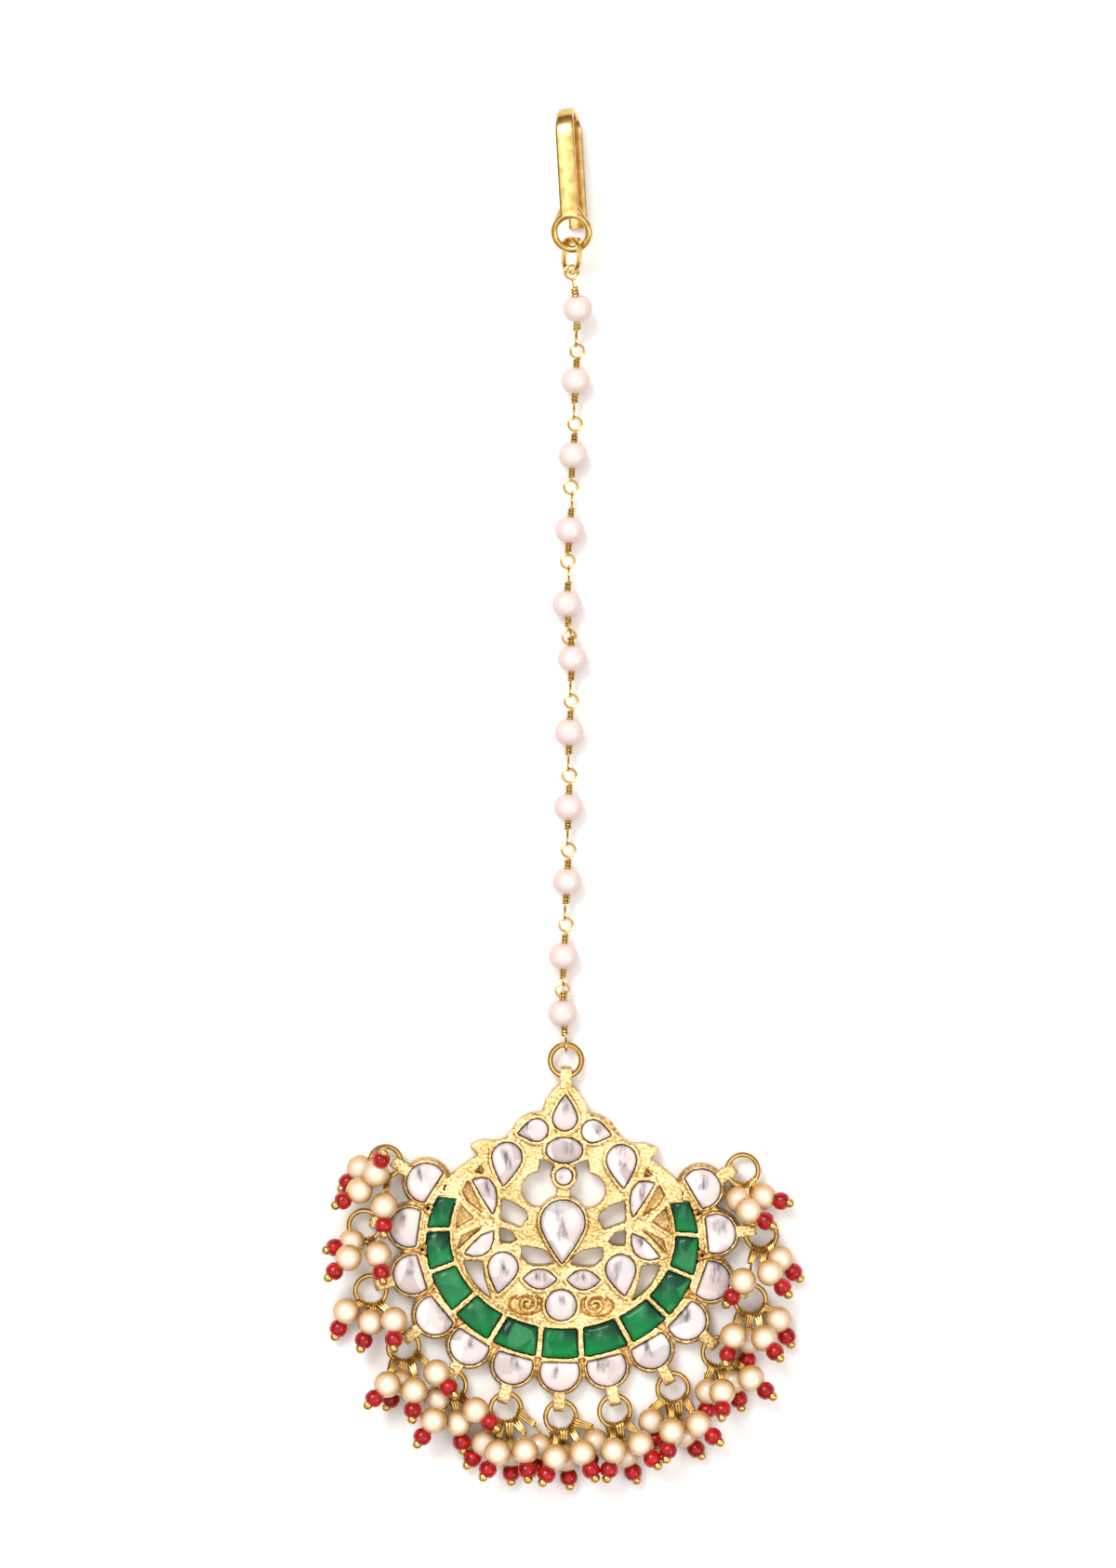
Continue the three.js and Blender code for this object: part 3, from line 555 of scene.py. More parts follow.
# Cut stones. Each is a flat piece of foiled glass with a wide table, a row of low facets that run
# down to its girdle and a shallow back, held flush in a pocket by the gold that stands round it.
GIRDLE = 2.0
STONE_RINGS = [
    (0.45, -0.82), (0.99, -0.1), (1.0, 0.08), (0.98, 0.24), (0.88, 0.46), (0.62, 0.58), (0.3, 0.6),
]
TABLE_FROM = 3


def swept_faces(rows, sides, closed, start=0):
    """Four-cornered faces between the rings of a swept shape, and its two ends if it is open."""
    a, b = np.meshgrid(np.arange(rows if closed else rows - 1), np.arange(sides), indexing="ij")
    c, d = (a + 1) % rows, (b + 1) % sides
    corners = [a * sides + b, a * sides + d, c * sides + d, c * sides + b]
    faces = [np.stack(corners, axis=-1).reshape(-1, 4) + start]
    if not closed:
        end = np.arange(sides)[None, :] + start
        faces += [end[:, ::-1], end + (rows - 1) * sides]
    return faces


def mark(mesh, name, values):
    """Gives the mesh a number for each of its corners, which its material reads."""
    layer = mesh.attributes.new(name=name, type="FLOAT", domain="POINT")
    layer.data.foreach_set("value", np.asarray(values, np.float32))


def cut_stone(name, corners, material, lift=0.0, table=1.0, rim_from=0.95):
    """Rings of the outline, drawn in towards its middle by a share, at heights above the girdle,
    from the back over the girdle to the table. Face is where a point lies in the stone's own box,
    and rim is one on the stone's edge and nought on its table."""
    ring = np.asarray(corners, float)
    low, high = ring.min(axis=0), ring.max(axis=0)
    middle = (low + high) / 4 + ring.mean(axis=0) / 2
    shares = np.array([share if share > 0.9 else share * table for share, _ in STONE_RINGS])
    heights = np.array([z for _, z in STONE_RINGS]) + GIRDLE
    heights[TABLE_FROM:] += lift
    plan = (middle + shares[:, None, None] * (ring - middle)).reshape(-1, 2)
    faces = swept_faces(len(shares), len(ring), False)
    ahead = np.roll(ring, -1, axis=0)
    if np.sum(ring[:, 0] * ahead[:, 1] - ring[:, 1] * ahead[:, 0]) < 0:
        faces = [part[:, ::-1] for part in faces]
    vertices = np.column_stack([plan, np.repeat(heights, len(ring))])
    piece = new_piece(name, turned(vertices), faces, material, sharp=50.0)
    mesh = piece.data
    loops = np.empty(len(mesh.loops), np.int32)
    mesh.loops.foreach_get("vertex_index", loops)
    face = ((plan - low) / (high - low))[loops]
    mesh.uv_layers.new(name="face").data.foreach_set("uv", face.astype(np.float32).ravel())
    mark(mesh, "rim", np.repeat(np.clip((shares - rim_from) / 0.06, 0, 1), len(ring)))
    return piece


def glow_group():
    """Over a stone's face: painted light and shade that run from its top to its foot, facets
    painted as uneven highlights and reflections, a soft painted reflection near its upper right,
    and a broken dark line at its edge."""
    tree, given, end = group_nodes(
        "stone_glow",
        {"Top": (1, 1, 1), "Foot": (1, 1, 1), "Patch": (1, 1, 1), "Spark": (1, 1, 1),
         "Edge": (0, 0, 0), "Patch Share": 0.8},
        [("Color", "Color")],
    )
    place = object_place(tree)
    face = add_node(tree, "UVMap", uv_map="face").outputs["UV"]
    sway = noise(tree, place, 230.0, 1.0)["Color"]
    moved = add_node(tree, "VectorMath", [(0, sway), (1, (0.9, 0.7, 0)), (2, face)],
                     operation="MULTIPLY_ADD").outputs[0]
    moved = add_node(tree, "SeparateXYZ", Vector=moved).outputs
    drawn = add_node(tree, "VectorMath", [(0, place), (1, (2200, 700, 0))],
                     operation="MULTIPLY").outputs[0]
    veil = noise(tree, drawn, 1.0, 2.0)["Fac"]
    facet = add_node(tree, "TexVoronoi", feature="SMOOTH_F1", Vector=place, Scale=430.0,
                     Smoothness=0.12).outputs["Color"]
    chip = add_node(tree, "SeparateXYZ", Vector=facet).outputs
    rim = add_node(tree, "Attribute", attribute_name="rim").outputs["Fac"]

    def band(value, centre, half, soft):
        """One near a centre, and nought beyond a half width and a soft edge."""
        off = maths(tree, "ABSOLUTE", maths(tree, "SUBTRACT", value, centre))
        return ranged(tree, off, half, half + soft, 1.0, 0.0, interpolation_type="SMOOTHSTEP")

    def times(first, second):
        return maths(tree, "MULTIPLY", first, second)

    # Painted reflection: a soft patch near the upper right, in the Patch colour, broken by a veil.
    patch = times(band(moved["X"], 0.95, 0.03, 0.2), band(moved["Y"], 1.01, 0.07, 0.28))
    patch = times(times(patch, ranged(tree, veil, 0.38, 0.62, 0.2)), given["Patch Share"])
    body = given["Top"]
    # Painted light and shade from top to foot, painted highlights on bright facets (Spark), painted
    # reflections on other facets and in the patch (Patch), and the dark edge line.
    for share, colour in (
        (ranged(tree, moved["Y"], 1.15, 0.3), "Foot"),
        (ranged(tree, chip["Y"], 0.5, 0.9, 0.0, 0.8), "Spark"),
        (ranged(tree, chip["X"], 0.45, 1.0, 0.0, 0.42), "Patch"),
        (patch, "Patch"),
        (times(rim, ranged(tree, veil, 0.38, 0.55, 0.65)), "Edge"),
    ):
        body = mixed(tree, share, body, given[colour])
    fill(tree, end, Color=body)
    return tree


stone_glow = glow_group()


def glass_material(name, share, **colours):
    """Foiled glass: a bright coat over the colours of the glow group, which hold painted light,
    shade, highlights and reflections.
    """
    material, tree, shader = new_material(name)
    glow = add_node(tree, "Group", node_tree=stone_glow, Patch_Share=share, **colours)
    fill(tree, shader, Base_Color=glow.outputs["Color"], Roughness=0.12, Specular_IOR_Level=0.15,
         Coat_Weight=0.08, Coat_Roughness=0.03)
    return material


# Clear stones: painted light at the top and painted shade at the foot, grey painted reflections
# (Patch) and white painted highlights (Spark).
clear = {
    "Top": (0.78, 0.68, 0.66), "Foot": (0.74, 0.6, 0.58), "Patch": (0.14, 0.12, 0.14),
    "Spark": (0.92, 0.88, 0.88),
}
clear_glass = glass_material("clear_glass", 0.95, **clear, Edge=(0.03, 0.012, 0.004))
centre_glass = glass_material("centre_glass", 0.95, **clear, Edge=(0.3, 0.26, 0.22))
# Green stones: dark at the top and painted light at the foot, a pale painted highlight (Patch) and
# bright painted facets (Spark).
green_glass = glass_material(
    "green_glass", 0.45, Top=(0.003, 0.045, 0.022), Foot=(0.001, 0.26, 0.055),
    Patch=(0.07, 0.28, 0.13), Spark=(0.002, 0.22, 0.05), Edge=(0.001, 0.006, 0.003))

for number, corners in enumerate(rim_rows, 1):
    name = f"rim_stone_{number:02d}"
    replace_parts(cut_stone(name + "_cut", corners, clear_glass), name)
for number, corners in enumerate(green_rows, 1):
    name = f"green_stone_{number:02d}"
    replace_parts(cut_stone(name + "_cut", corners, green_glass), name)
for name, corners in stone_rows:
    if name == "centre_pear_stone":
        corners = pear(*CENTRE_PEAR, spread=CENTRE_SPREAD, steps=26)
        piece = cut_stone(name + "_cut", corners, centre_glass, lift=0.4,
                          table=0.84, rim_from=0.74)
    else:
        piece = cut_stone(name + "_cut", corners, clear_glass)
    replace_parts(piece, name)


# Tabs. A strip of gold bent over into a square loop stands out from each scallop, and one from
# the top of the crown. A jump ring passes through the hole along the strip's width.
TAB_WIDTH = 1.25
TAB_HOLE = 1.3
TAB_WALL = 0.42
TAB_LOW, TAB_HIGH = 0.1, 2.4
TAB_ROOT, TAB_BEND = 0.5, 0.45


def unit(vectors):
    """Directions, each made one long."""
    return vectors / np.linalg.norm(vectors, axis=-1, keepdims=True)


def strip(path, width_axis, half_width, half_thick, narrow=1.0):
    """A rounded rectangle carried along a path: the width lies along a fixed direction and the
    thickness along the normal to it and to the path. Narrow is a share of the width at each
    point."""
    path = np.asarray(path, float)
    wide = np.asarray(width_axis, float)
    out = unit(np.cross(unit(np.gradient(path, axis=0)), wide))
    t = np.linspace(0, 2 * np.pi, 16, endpoint=False)
    across = np.sign(np.cos(t)) * np.abs(np.cos(t)) ** 0.35 * half_width
    up = np.sign(np.sin(t)) * np.abs(np.sin(t)) ** 0.5 * half_thick
    across = across[None, :] * (np.zeros(len(path)) + narrow)[:, None]
    points = path[:, None, :] + across[:, :, None] * wide + up[None, :, None] * out[:, None, :]
    return points, False


def swept_piece(name, parts, material, place=None):
    """One piece from swept shapes: each is its rings of points, in millimetres, and whether its
    last ring is joined to its first. Place takes the points to the row frame."""
    vertices, faces, count = [], [], 0
    for points, closed in parts:
        rows, sides = points.shape[:2]
        vertices.append(points.reshape(-1, 3))
        faces += swept_faces(rows, sides, closed, count)
        count += rows * sides
    vertices = np.vstack(vertices)
    vertices = place(vertices) if place else vertices * MM
    return new_piece(name, vertices, faces, material)


def tab_path():
    """A square loop with round corners in the plane of the strip: out, over and back."""
    low, high = TAB_LOW + TAB_WALL / 2, TAB_HIGH - TAB_WALL / 2
    far = TAB_HOLE + TAB_WALL / 2
    bend = TAB_BEND
    lower = arc(far - bend, low + bend, bend, bend, -90, 0, 6)
    upper = arc(far - bend, high - bend, bend, bend, 0, 90, 6)
    return np.vstack([[-TAB_ROOT, low], lower, upper, [-TAB_ROOT, high]])


def tab(x, y, heading, root):
    """One strip, pointing along its heading from the root."""
    plan = tab_path() + [root, 0]
    c, s = np.cos(heading), np.sin(heading)
    path = np.stack([x + plan[:, 0] * c, y + plan[:, 0] * s, plan[:, 1]], axis=1)
    return strip(path, (-s, c, 0), TAB_WIDTH / 2, TAB_WALL / 2)


TOP_RING = (0.38, 19.57, 1.68, 0.32)
tab_parts = [tab(x, y, heading, RIM_RADIUS) for x, y, heading in scallops()]
tab_parts.append(tab(0, TOP_RING[1] - TOP_RING[2], np.pi / 2, -TAB_HOLE / 2))
swept_piece("tabs", tab_parts, cast_gold, place=turned)


# Rings and drops. A jump ring of gold wire lies through each tab, and drops are bent round it:
# a wire with a small gold ball at its foot, a red glass bead and a pearl.
UP = np.array([0, 0, 1.0])
RING_HEIGHT = 1.25
RING_RADIUS = 1.65
RING_WIRE = 0.29
GAP_TURN = 1.2
DROP_WIRE = 0.12
COIL_APART = np.radians(31)
COIL_TURNS, COIL_START = 3.2, 2.0
COIL_BACK, COIL_HALF_UP, COIL_SPREAD = 0.42, 0.43, 0.86
COIL_SHORTEST, COIL_LONGEST = 1.0, 1.9
PEARL_RADIUS = 1.45
BEAD_SIZE = (0.96, 0.78)
BEAD_REACH = 2.07
BALL_REACH, BALL_RADIUS = 3.02, 0.55
CLUSTER_LEAN = np.radians([18, 22, 15, 20, 22, 20, 8, -9, -3, -13, -22, -22, -22])
DROPS = [
    [(-21.67, 8, 1.55, -132, -5), (-21.67, 5.8, 3.3, -149, 9), (-19.87, 7.7, 4.2, 69, 34),
     (-19.02, 4.2, 3.9, -90, 12)],
    [(-22.57, 0.1, 1.55, -165, 25), (-22.82, -1.3, 4, -136, 8), (-19.67, -1, 3.5, -78, 25)],
    [(-23.17, -7.3, 1.55, -114, -5), (-17.97, -8, 3.75, -90, 20), (-20.47, -8.4, 2.3, -112, 5)],
    [(-18.67, -14.8, 4.05, -134, 12), (-15.82, -15.5, 3.9, -94, 10), (-17.37, -15, 1.5, -120, -5),
     (-13.42, -13.6, 3.75, -49, 12)],
    [(-11.17, -19.3, 1.55, -80, -4), (-9.27, -17.7, 3, -39, 16), (-13.5, -16.8, 1.5, -95, 15),
     (-13.8, -18.7, 3.7, -124, 5)],
    [(-8.37, -21.5, 1.55, -128, -5), (-4, -21.9, 3.9, -84, 12), (-6.9, -22.1, 4.05, -122, 15),
     (-5.5, -22.6, 1.5, -90, -5), (-2.47, -21.8, 1.5, -104, -5)],
    [(-0.77, -22.6, 4.05, -118, 20), (2.13, -22.1, 3.9, -63, 10), (0.43, -23.1, 1.5, -83, -5),
     (3.53, -21.3, 1.5, -106, -5)],
    [(5.43, -21.9, 3.95, -103, 5), (8.33, -21.2, 3.4, -51, 16), (6.73, -22.7, 1.5, -66, -5)],
    [(11.68, -19.8, 3.95, -102, 8), (14.53, -19.1, 3.55, -39, 16), (9.53, -19.1, 1.5, -77, -5),
     (13.03, -20.5, 1.5, -51, -5)],
    [(17.03, -15.6, 4.1, -92, 35), (20.13, -14.2, 3.65, -39, 16), (15.6, -15.9, 1.5, -94, -5),
     (18.3, -14.8, 1.5, -73, -5)],
    [(18.23, -9.7, 3.7, -107, 15), (23.13, -8.2, 1.55, -63, -5), (21.53, -9.9, 3.85, -50, 35),
     (19.93, -10.5, 1.5, -93, -5)],
    [(23.33, -1.7, 1.55, -45, -5), (22.13, -2.9, 3.95, -49, 10), (19.23, -3.8, 4.1, -127, 8)],
    [(21.5, 4.95, 1.55, -11, 20), (19.9, 3.7, 3.85, -32, 10), (18.9, 4.7, 1.45, -60, 20)],
]
polished_gold = gold_material(
    "polished_gold", light=(0.74, 0.51, 0.19), deep=(0.56, 0.36, 0.11), grain=1100.0, smooth=0.14,
    coarse=0.26, bump=0.06)


def tube(path, radius, across, sides=8, closed=False):
    """A round wire along a path; across is a direction, or one for each point, that the path
    never runs along, and the section turns about the path from it."""
    path = np.asarray(path, float)
    if closed:
        tangent = np.roll(path, -1, axis=0) - np.roll(path, 1, axis=0)
    else:
        tangent = np.gradient(path, axis=0)
    tangent = unit(tangent)
    side = unit(np.cross(tangent, across))
    up = np.cross(tangent, side)
    t = np.linspace(0, 2 * np.pi, sides, endpoint=False)[None, :, None]
    section = np.cos(t) * side[:, None, :] + np.sin(t) * up[:, None, :]
    return path[:, None, :] + radius * section, closed


def around(axis, angles):
    """Directions square to an axis, one for each angle round it."""
    axis = unit(np.asarray(axis, float))
    first = unit(np.cross(UP if abs(axis[2]) < 0.8 else [1.0, 0, 0], axis))
    return np.cos(angles)[:, None] * first + np.sin(angles)[:, None] * np.cross(axis, first)


def revolved(centre, axis, profile, segments):
    """A profile of radius and height along an axis, carried once round it and closed at both
    ends."""
    ring = around(axis, np.linspace(0, 2 * np.pi, segments, endpoint=False))
    radius, height = profile.T[:, :, None, None]
    return centre + radius * ring + height * unit(axis), False


def round_profile(across, half, steps, power=1.0):
    """Half of an oval from near one pole to near the other, flattened a little by the power."""
    t = np.linspace(0.06, np.pi - 0.06, steps)
    return np.stack([across * np.sin(t) ** power, -half * np.cos(t)], axis=1)


def helix(start, end, radius, turns, steps):
    """Turns of wire round the line from start to end, side by side."""
    t = np.linspace(0, 1, steps)
    ring = around(end - start, 2 * np.pi * turns * t)
    return start + t[:, None] * (end - start) + radius * ring


def circle(centre, normal, radius, steps):
    """Points of a circle about a normal."""
    return centre + radius * around(normal, np.linspace(0, 2 * np.pi, steps, endpoint=False))


def jump_ring(centre, normal, radius, wire, gap_at, turns=1.04):
    """A ring of wire as a low helix, a wire's width a turn, whose two ends lie side by side."""
    share = np.linspace(0, 1, 72)
    ring = around(normal, gap_at + 2 * np.pi * turns * share)
    rise = (share - 0.5) * turns * 2.05 * wire
    return tube(centre + radius * ring + rise[:, None] * normal, wire, normal, sides=10)


def pearl_material(name, light, deep, rim, roughness):
    """Nacre: a soft bright coat over clouds of two tones, and a painted shade in the rim colour
    round the sides of each bead, where its low attribute says."""
    material, tree, shader = new_material(name)
    cloud = noise(tree, object_place(tree), 420.0, 2.0)["Fac"]
    low = add_node(tree, "Attribute", attribute_name="low").outputs["Fac"]
    ripple = add_node(tree, "Bump", Height=cloud, Strength=0.15, Distance=0.0003)
    fill(tree, shader, Base_Color=mixed(tree, low, mixed(tree, cloud, deep, light), rim),
         Normal=ripple.outputs["Normal"], Roughness=roughness, Coat_Weight=0.8, Coat_Roughness=0.07)
    return material


def mark_painted_side_shade(piece, centres, radius, share):
    """Low, the share of painted shade, is nought over the middle of each bead and rises evenly to a
    share near its outline as seen from above, and is the whole share below its middle height."""
    points = np.empty(len(piece.data.vertices) * 3, np.float32)
    piece.data.vertices.foreach_get("co", points)
    points = points.reshape(-1, 3) / MM
    centres = np.asarray(centres)
    away = np.linalg.norm(points[:, None, :] - centres[None], axis=2)
    height = np.clip((points[:, 2] - centres[away.argmin(axis=1), 2]) / radius, 0, 1)
    mark(piece.data, "low", share * np.clip((np.sqrt(1 - height**2) - 0.42) / 0.52, 0, 1) ** 1.1)


# The drop pearls' rim colour is a painted shade on their sides and undersides.
drop_nacre = pearl_material(
    "drop_nacre", light=(0.93, 0.79, 0.65), deep=(0.87, 0.69, 0.51), rim=(0.5, 0.26, 0.05),
    roughness=0.2)


def bead_material(name, light, deep):
    """Clear red glass whose depth shows as a deeper colour in patches, under a bright coat."""
    material, tree, shader = new_material(name)
    cloud = noise(tree, object_place(tree), 1100.0, 2.0)["Fac"]
    fill(tree, shader, Base_Color=mixed(tree, ranged(tree, cloud, 0.35, 0.65), deep, light),
         Roughness=0.18, Specular_IOR_Level=0.3, Coat_Weight=0.15, Coat_Roughness=0.04)
    return material


red_glass = bead_material("red_glass", light=(0.5, 0.007, 0.01), deep=(0.22, 0.002, 0.003))


def cluster_centre(x, y, heading, lean):
    """Middle of a jump ring: out from its scallop to the tab's hole, then by its radius."""
    out = (RIM_RADIUS + TAB_HOLE / 2) * np.exp(1j * heading)
    out += RING_RADIUS * np.exp(1j * (heading + lean))
    return turned([[x + out.real, y + out.imag, RING_HEIGHT]])[0] / MM


def drop(centre, row, place):
    """The pearl, the red bead, and the wire of one drop: its ball, three long turns round the jump
    ring as an oval helix, narrower at its far end and slanted a little, and a straight neck. A row
    is the pearl's place, and the heading and climb of its axis in degrees."""
    x, y, z, heading, climb = row
    pearl = np.array([x, y, z], float)
    azimuth, rise = np.radians(heading), np.radians(climb)
    axis = np.array([np.cos(azimuth) * np.cos(rise), np.sin(azimuth) * np.cos(rise), np.sin(rise)])
    head = pearl - PEARL_RADIUS * axis
    out = np.array([np.cos(place), np.sin(place), 0])
    tangent = np.array([-np.sin(place), np.cos(place), 0])
    start = centre + RING_RADIUS * out
    shapes = []
    for along_axis, profile, segments in (
        (0, round_profile(PEARL_RADIUS, PEARL_RADIUS, 16), 28),
        (BEAD_REACH, round_profile(*BEAD_SIZE, 14, power=0.5), 24),
        (BALL_REACH, round_profile(BALL_RADIUS, BALL_RADIUS, 9), 14),
    ):
        shapes.append(revolved(pearl + along_axis * axis, axis, profile, segments))

    distance = np.linalg.norm(head - start)
    reach = np.clip(distance + 0.15, COIL_SHORTEST, COIL_LONGEST)
    along = unit(0.4 * out + 0.6 * (head - start) / distance)
    normal = unit(np.cross(along, tangent))
    t = np.linspace(0, 1, 72)[:, None]
    c, s = [ratio(2 * np.pi * COIL_TURNS * t + COIL_START) for ratio in (np.cos, np.sin)]
    slant = 0.12 * np.sin(1.7 * heading)
    coil = (start + ((reach - COIL_BACK) / 2 + (reach + COIL_BACK) / 2 * c) * along
            + COIL_HALF_UP * s * (1 - 0.35 * c) * normal
            + (COIL_SPREAD * (t - 0.5) * (1 - 0.25 * c) + slant * c) * tangent)
    neck = np.linspace(start + (reach - 0.15) * along, head + 0.1 * axis, 4)
    wires = [tube(coil, DROP_WIRE, tangent, 7), tube(neck, DROP_WIRE * 1.1, tangent, 6)]
    return shapes[0], shapes[1], [shapes[2], *wires]


for number, (scallop, lean, own) in enumerate(zip(scallops(), CLUSTER_LEAN, DROPS), 1):
    centre = cluster_centre(*scallop, lean)
    bearing = np.array([np.arctan2(row[1] - centre[1], row[0] - centre[0]) for row in own])
    mean = np.arctan2(np.sin(bearing).mean(), np.cos(bearing).mean())
    order = np.argsort(np.argsort((bearing - mean + np.pi) % (2 * np.pi)))
    places = mean + (order - (len(own) - 1) / 2) * COIL_APART
    pearls, beads, wires = zip(*[drop(centre, row, place) for row, place in zip(own, places)])
    ring = jump_ring(centre, UP, RING_RADIUS, RING_WIRE, scallop[2] + GAP_TURN)
    node = f"bead_cluster_{number:02d}"
    strung = swept_piece(node + "_pearls", pearls, drop_nacre)
    mark_painted_side_shade(strung, [row[:3] for row in own], PEARL_RADIUS, 1.0)
    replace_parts(strung, node)
    swept_piece(node + "_beads", beads, red_glass)
    swept_piece(node + "_wires", [ring, *sum(wires, [])], polished_gold)

ring = jump_ring(np.array([*TOP_RING[:2], RING_HEIGHT]), UP, TOP_RING[2], TOP_RING[3], 0.9)
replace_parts(swept_piece("crown_ring", [ring], polished_gold), "pendant_jump_ring")


# The chain. Each link is a pearl on a gold wire that is bent into a loop at both ends, with the
# end of the wire wound three times round its own neck, and each loop passes through the next.
CHAIN_ACROSS, CHAIN_ALONG = 1.6, 1.45
CHAIN_HEIGHT = 1.6
LOOP_RADIUS, LOOP_WIRE = 0.72, 0.15
LOOP_APART, LOOP_SHIFT = 1.22, 0.06
WOUND_LENGTH, WOUND_WIRE, WOUND_RADIUS = 1.0, 0.16, 0.3
NECK_OFF, NECK_IN = 0.1, 0.12
HOOK_LINK = np.array([0.98, 105.42, 4.62])
HOOK_LINK_RADIUS = 1.75
CHAIN_FOOT, CHAIN_LENGTH = 21.246, 82.42
ROUTE = [
    (1.63, 0.955, False, False), (1.43, 0.863, False, False), (1.16, 0.766, True, False),
    (0.78, 0.669, True, False), (0.48, 0.573, True, True), (1.08, 0.502, False, False),
    (0.73, 0.406, False, False), (0.68, 0.309, False, False), (0.53, 0.212, False, False),
    (0.13, 0.115, True, True), (0.03, 0.041, False, False),
]
# The chain pearls' rim colour is a painted shade on their sides and undersides too.
chain_nacre = pearl_material(
    "chain_nacre", light=(0.82, 0.69, 0.66), deep=(0.75, 0.61, 0.58), rim=(0.58, 0.41, 0.37),
    roughness=0.24)


def chain():
    """The pearls, and all of the wire: loops as circles and necks as wound turns. Between each
    pearl and the next lie two loops, which pass through each other, and of which one lies flat."""
    heights = [(HOOK_LINK[2] + CHAIN_HEIGHT) / 2] + [CHAIN_HEIGHT] * (len(ROUTE) - 1)
    pearls = np.array([(x, CHAIN_FOOT + up * CHAIN_LENGTH, z)
                       for (x, up, _, _), z in zip(ROUTE, heights)])
    middle = (pearls[:-1] + pearls[1:]) / 2
    middle[:, 2] = CHAIN_HEIGHT
    apart = np.array([-LOOP_APART if drawn else LOOP_APART for _, _, _, drawn in ROUTE[:-1]])
    offset = np.stack([np.full(len(apart), -LOOP_SHIFT), apart / 2, 0 * apart], axis=1)
    flats = [flat for _, _, flat, _ in ROUTE[:-1]]
    first = HOOK_LINK - [0, HOOK_LINK_RADIUS, 0]
    last = np.array([TOP_RING[0], TOP_RING[1] + TOP_RING[2], RING_HEIGHT])
    starts = zip([first, *(middle - offset)], [True] + [not flat for flat in flats])
    ends = zip([*(middle + offset), last], flats + [False])
    beads, wires = [], []
    for pearl, start, end in zip(pearls, starts, ends):
        axis = unit(end[0] - start[0])
        shape = round_profile(CHAIN_ACROSS, CHAIN_ALONG, 20, power=0.85)
        beads.append(revolved(pearl, axis, shape, 32))
        for centre, flat in (start, end):
            normal = UP if flat else np.array([1.0, 0, 0])
            loop = circle(centre, normal, LOOP_RADIUS, 28)
            toward = unit(pearl - centre)
            near = centre + (LOOP_RADIUS + NECK_OFF) * toward
            far = pearl - (CHAIN_ALONG - NECK_IN) * toward
            length = min(WOUND_LENGTH, np.linalg.norm(far - near))
            turns = length / (2.1 * WOUND_WIRE)
            steps = int(turns * 16) + 2
            wound = helix(far - length * toward, far, WOUND_RADIUS, turns, steps)
            wires += [tube(loop, LOOP_WIRE, normal, 8, closed=True),
                      tube(wound, WOUND_WIRE, far - near, 7),
                      tube(np.linspace(near, far, 3), LOOP_WIRE, normal + 0.01, 8)]
    return pearls, beads, wires


chain_centres, chain_beads, chain_wires = chain()
chain_pearls = swept_piece("chain_pearls", chain_beads, chain_nacre)
mark_painted_side_shade(chain_pearls, chain_centres, CHAIN_ALONG, 0.8)
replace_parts(chain_pearls, "pearl_chain")
swept_piece("chain_wire", chain_wires, polished_gold)


# The hook. A flat band is bent back on itself, a ring is soldered to the end of its upper limb,
# and a jump ring joins that to the chain.
HOOK_WIDTH, HOOK_THICK, HOOK_GAP = 2.0, 0.7, 4.7
HOOK_FRONT, HOOK_BACK = 11.8, 12.6
HOOK_LEAN, HOOK_ROLL = np.radians(3.3), np.radians(10)
HOOK_TOP = np.array([0.55, 121.4, 0])
HOOK_RING, HOOK_RING_WIRE, HOOK_RING_DIP = 1.86, 0.39, np.radians(20)
HOOK_NARROW = 0.2
HOOK_SOLDER, SOLDER_ANGLE, SOLDER_START = 0.37, 0.95, (0.5, 1.1)
LINK_WIRE, LINK_TURN = 0.3, np.radians(57)


def hook_place(points):
    """Rolls the hook about its length, sets it down on its lower limb and leans it to its place,
    in metres."""
    outer = HOOK_GAP / 2 + HOOK_THICK
    x, y, z = points.T
    c, s = np.cos(-HOOK_ROLL), np.sin(-HOOK_ROLL)
    x, z = x * c + z * s, z * c - x * s
    y = y - outer
    z = z + outer * np.cos(HOOK_ROLL) + HOOK_WIDTH / 2 * np.sin(HOOK_ROLL)
    c, s = np.cos(HOOK_LEAN), np.sin(HOOK_LEAN)
    return (np.stack([x * c - y * s, x * s + y * c, z], axis=1) + HOOK_TOP) * MM


def hook():
    """The band as a rounded rectangle along a U, its ring, and two runs of solder that spread from
    the end of the band to the sides of the ring."""
    middle = (HOOK_GAP + HOOK_THICK) / 2
    outer = HOOK_GAP / 2 + HOOK_THICK
    t = np.linspace(np.pi, 0, 25)
    bend = np.stack([0 * t, middle * np.sin(t), middle * np.cos(t)], axis=1)
    front_end = np.array([0, outer - HOOK_FRONT, middle])
    back = np.linspace([0, outer - HOOK_BACK, -middle], bend[0], 8)
    front = np.linspace(bend[-1], front_end, 8)
    path = np.vstack([back[:-1], bend, front[1:]])
    narrow = 1 - HOOK_NARROW * np.clip(path[:, 1] / middle, 0, 1) ** 2
    band = strip(path, (1, 0, 0), HOOK_WIDTH / 2, HOOK_THICK / 2, narrow=narrow)
    c, s = np.cos(HOOK_RING_DIP), np.sin(HOOK_RING_DIP)
    centre = front_end - HOOK_RING * np.array([0, c, s])
    normal = np.array([0, -s, c])
    ring = circle(centre, normal, HOOK_RING, 40)
    parts = [band, tube(ring, HOOK_RING_WIRE, normal, 12, closed=True)]
    across, up = np.sin(SOLDER_ANGLE), np.cos(SOLDER_ANGLE)
    for side in (-1, 1):
        reach = np.array([side * across, up * c, up * s])
        begin = front_end + [side * SOLDER_START[0], SOLDER_START[1], 0]
        run = np.linspace(begin, centre + HOOK_RING * reach, 6)
        parts.append(tube(run, HOOK_SOLDER, UP, 10))
    return parts


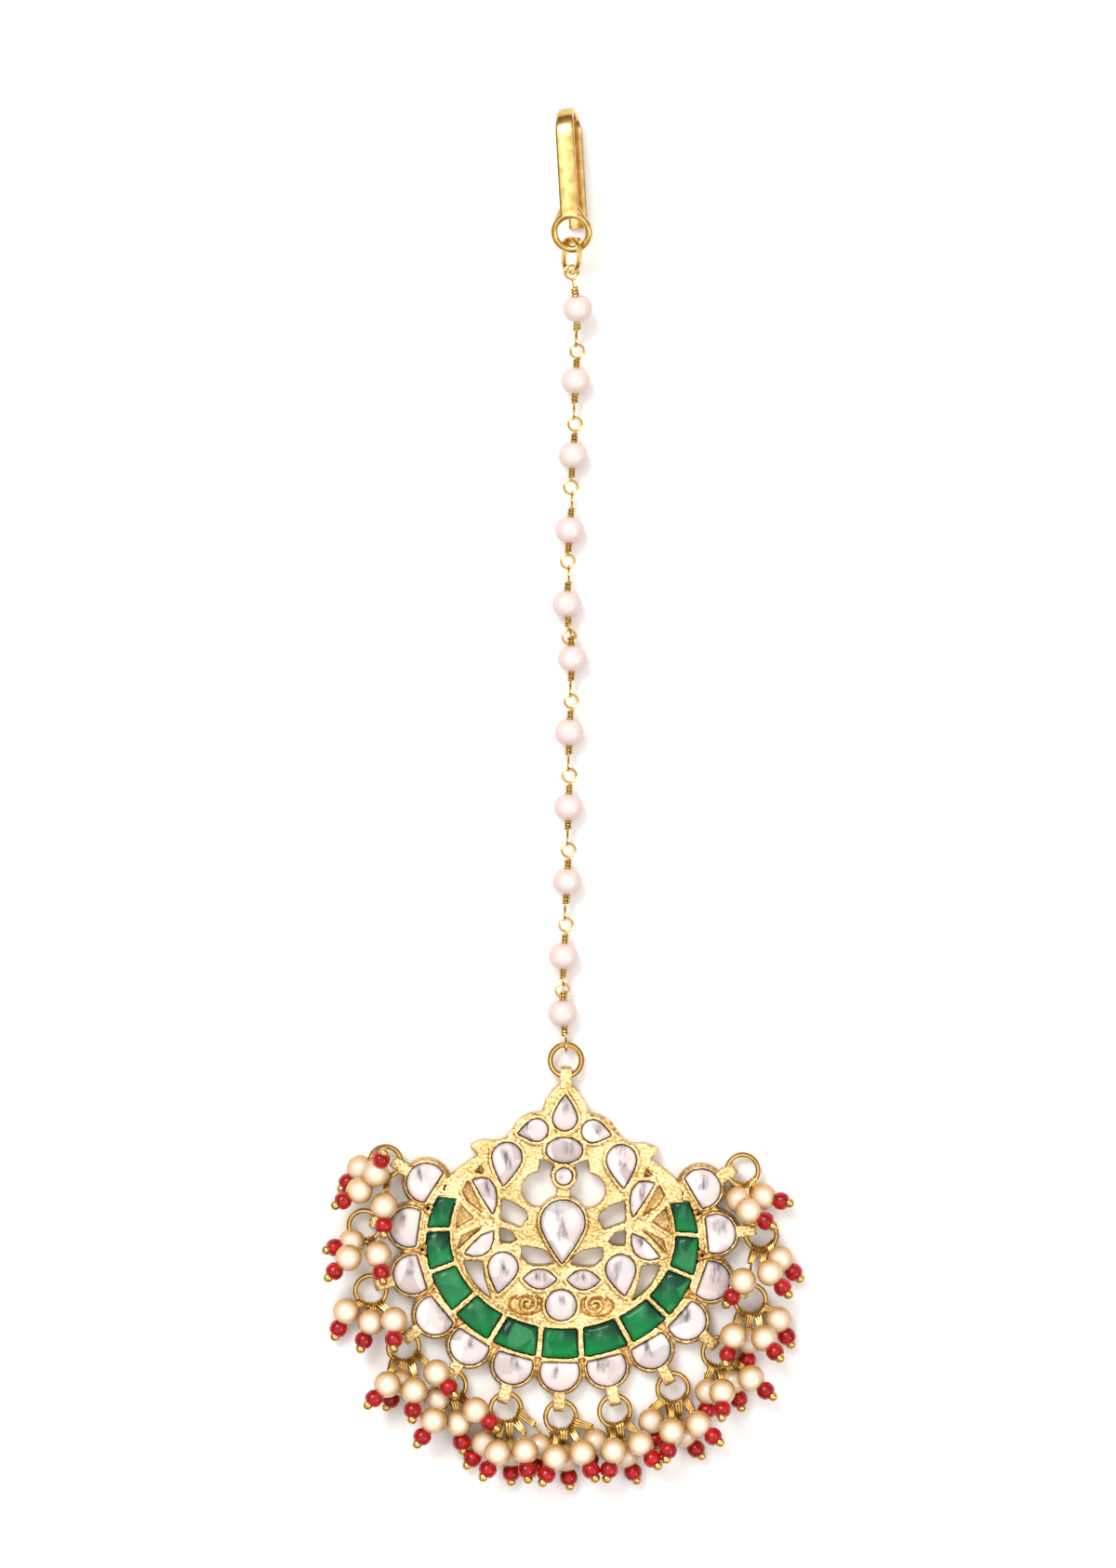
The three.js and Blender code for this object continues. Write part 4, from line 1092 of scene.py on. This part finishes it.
band_hook = swept_piece("band_hook", hook(), polished_gold, place=hook_place)
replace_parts(band_hook, "hook")
link_normal = np.array([-np.sin(LINK_TURN), 0, np.cos(LINK_TURN)])
link = jump_ring(HOOK_LINK, link_normal, HOOK_LINK_RADIUS, LINK_WIRE, 2.6, turns=1.22)
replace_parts(swept_piece("hook_link", [link], polished_gold), "hook_jump_ring")


# The table and the studio: a wide pale sheet under the jewel, a soft white room, one broad lamp
# from the upper left and a smaller one opposite.
FRAME_HEIGHT = 0.1686
FRAME_CENTRE = (-0.00047, 0.0492)
LENS = 100.0
SENSOR = 36.0
TABLE_HALF = 1.2

floor_mesh = bpy.data.meshes.new("table")
corners = [[x * TABLE_HALF, y * TABLE_HALF, 0] for x, y in ((-1, -1), (1, -1), (1, 1), (-1, 1))]
floor_mesh.from_pydata(corners, [], [[0, 1, 2, 3]])
floor = into_scene("table", floor_mesh)
table_paint, tree, paint = new_material("table_paint")
fill(tree, paint, Roughness=0.9, Base_Color=(0.95, 0.95, 0.95))
floor_mesh.materials.append(table_paint)

world = bpy.data.worlds.new("studio")
bpy.context.scene.world = world
world.use_nodes = True
room = world.node_tree
heading = add_node(room, "TexCoord").outputs["Generated"]
height = add_node(room, "SeparateXYZ", Vector=heading).outputs["Z"]
wall = ranged(room, height, 0.32, 0.92, interpolation_type="SMOOTHSTEP")
fill(room, room.nodes["Background"], Color=mixed(room, wall, (0.2, 0.13, 0.07), (1, 1, 1)),
     Strength=1.36)
bpy.context.scene.view_settings.view_transform = "Standard"


def lamp(name, place, target, size, power):
    """A square soft lamp that faces a point."""
    data = bpy.data.lights.new(name, "AREA")
    data.size = size
    data.energy = power
    light = into_scene(name, data)
    light.location = place
    direction = np.array(target) - np.array(place)
    light.rotation_euler = Vector(direction).to_track_quat("-Z", "Y").to_euler()


lamp("key", (-0.26, 0.44, 0.64), (0, 0.04, 0), 0.34, 3.8)
lamp("fill", (0.5, -0.2, 0.5), (0, 0.04, 0), 0.3, 1.0)

camera_data = bpy.data.cameras.new("camera")
camera_data.lens = LENS
camera_data.sensor_width = SENSOR
camera_data.clip_start = 0.01
camera = into_scene("camera", camera_data)
camera.location = (*FRAME_CENTRE, FRAME_HEIGHT * LENS / SENSOR)
bpy.context.scene.camera = camera
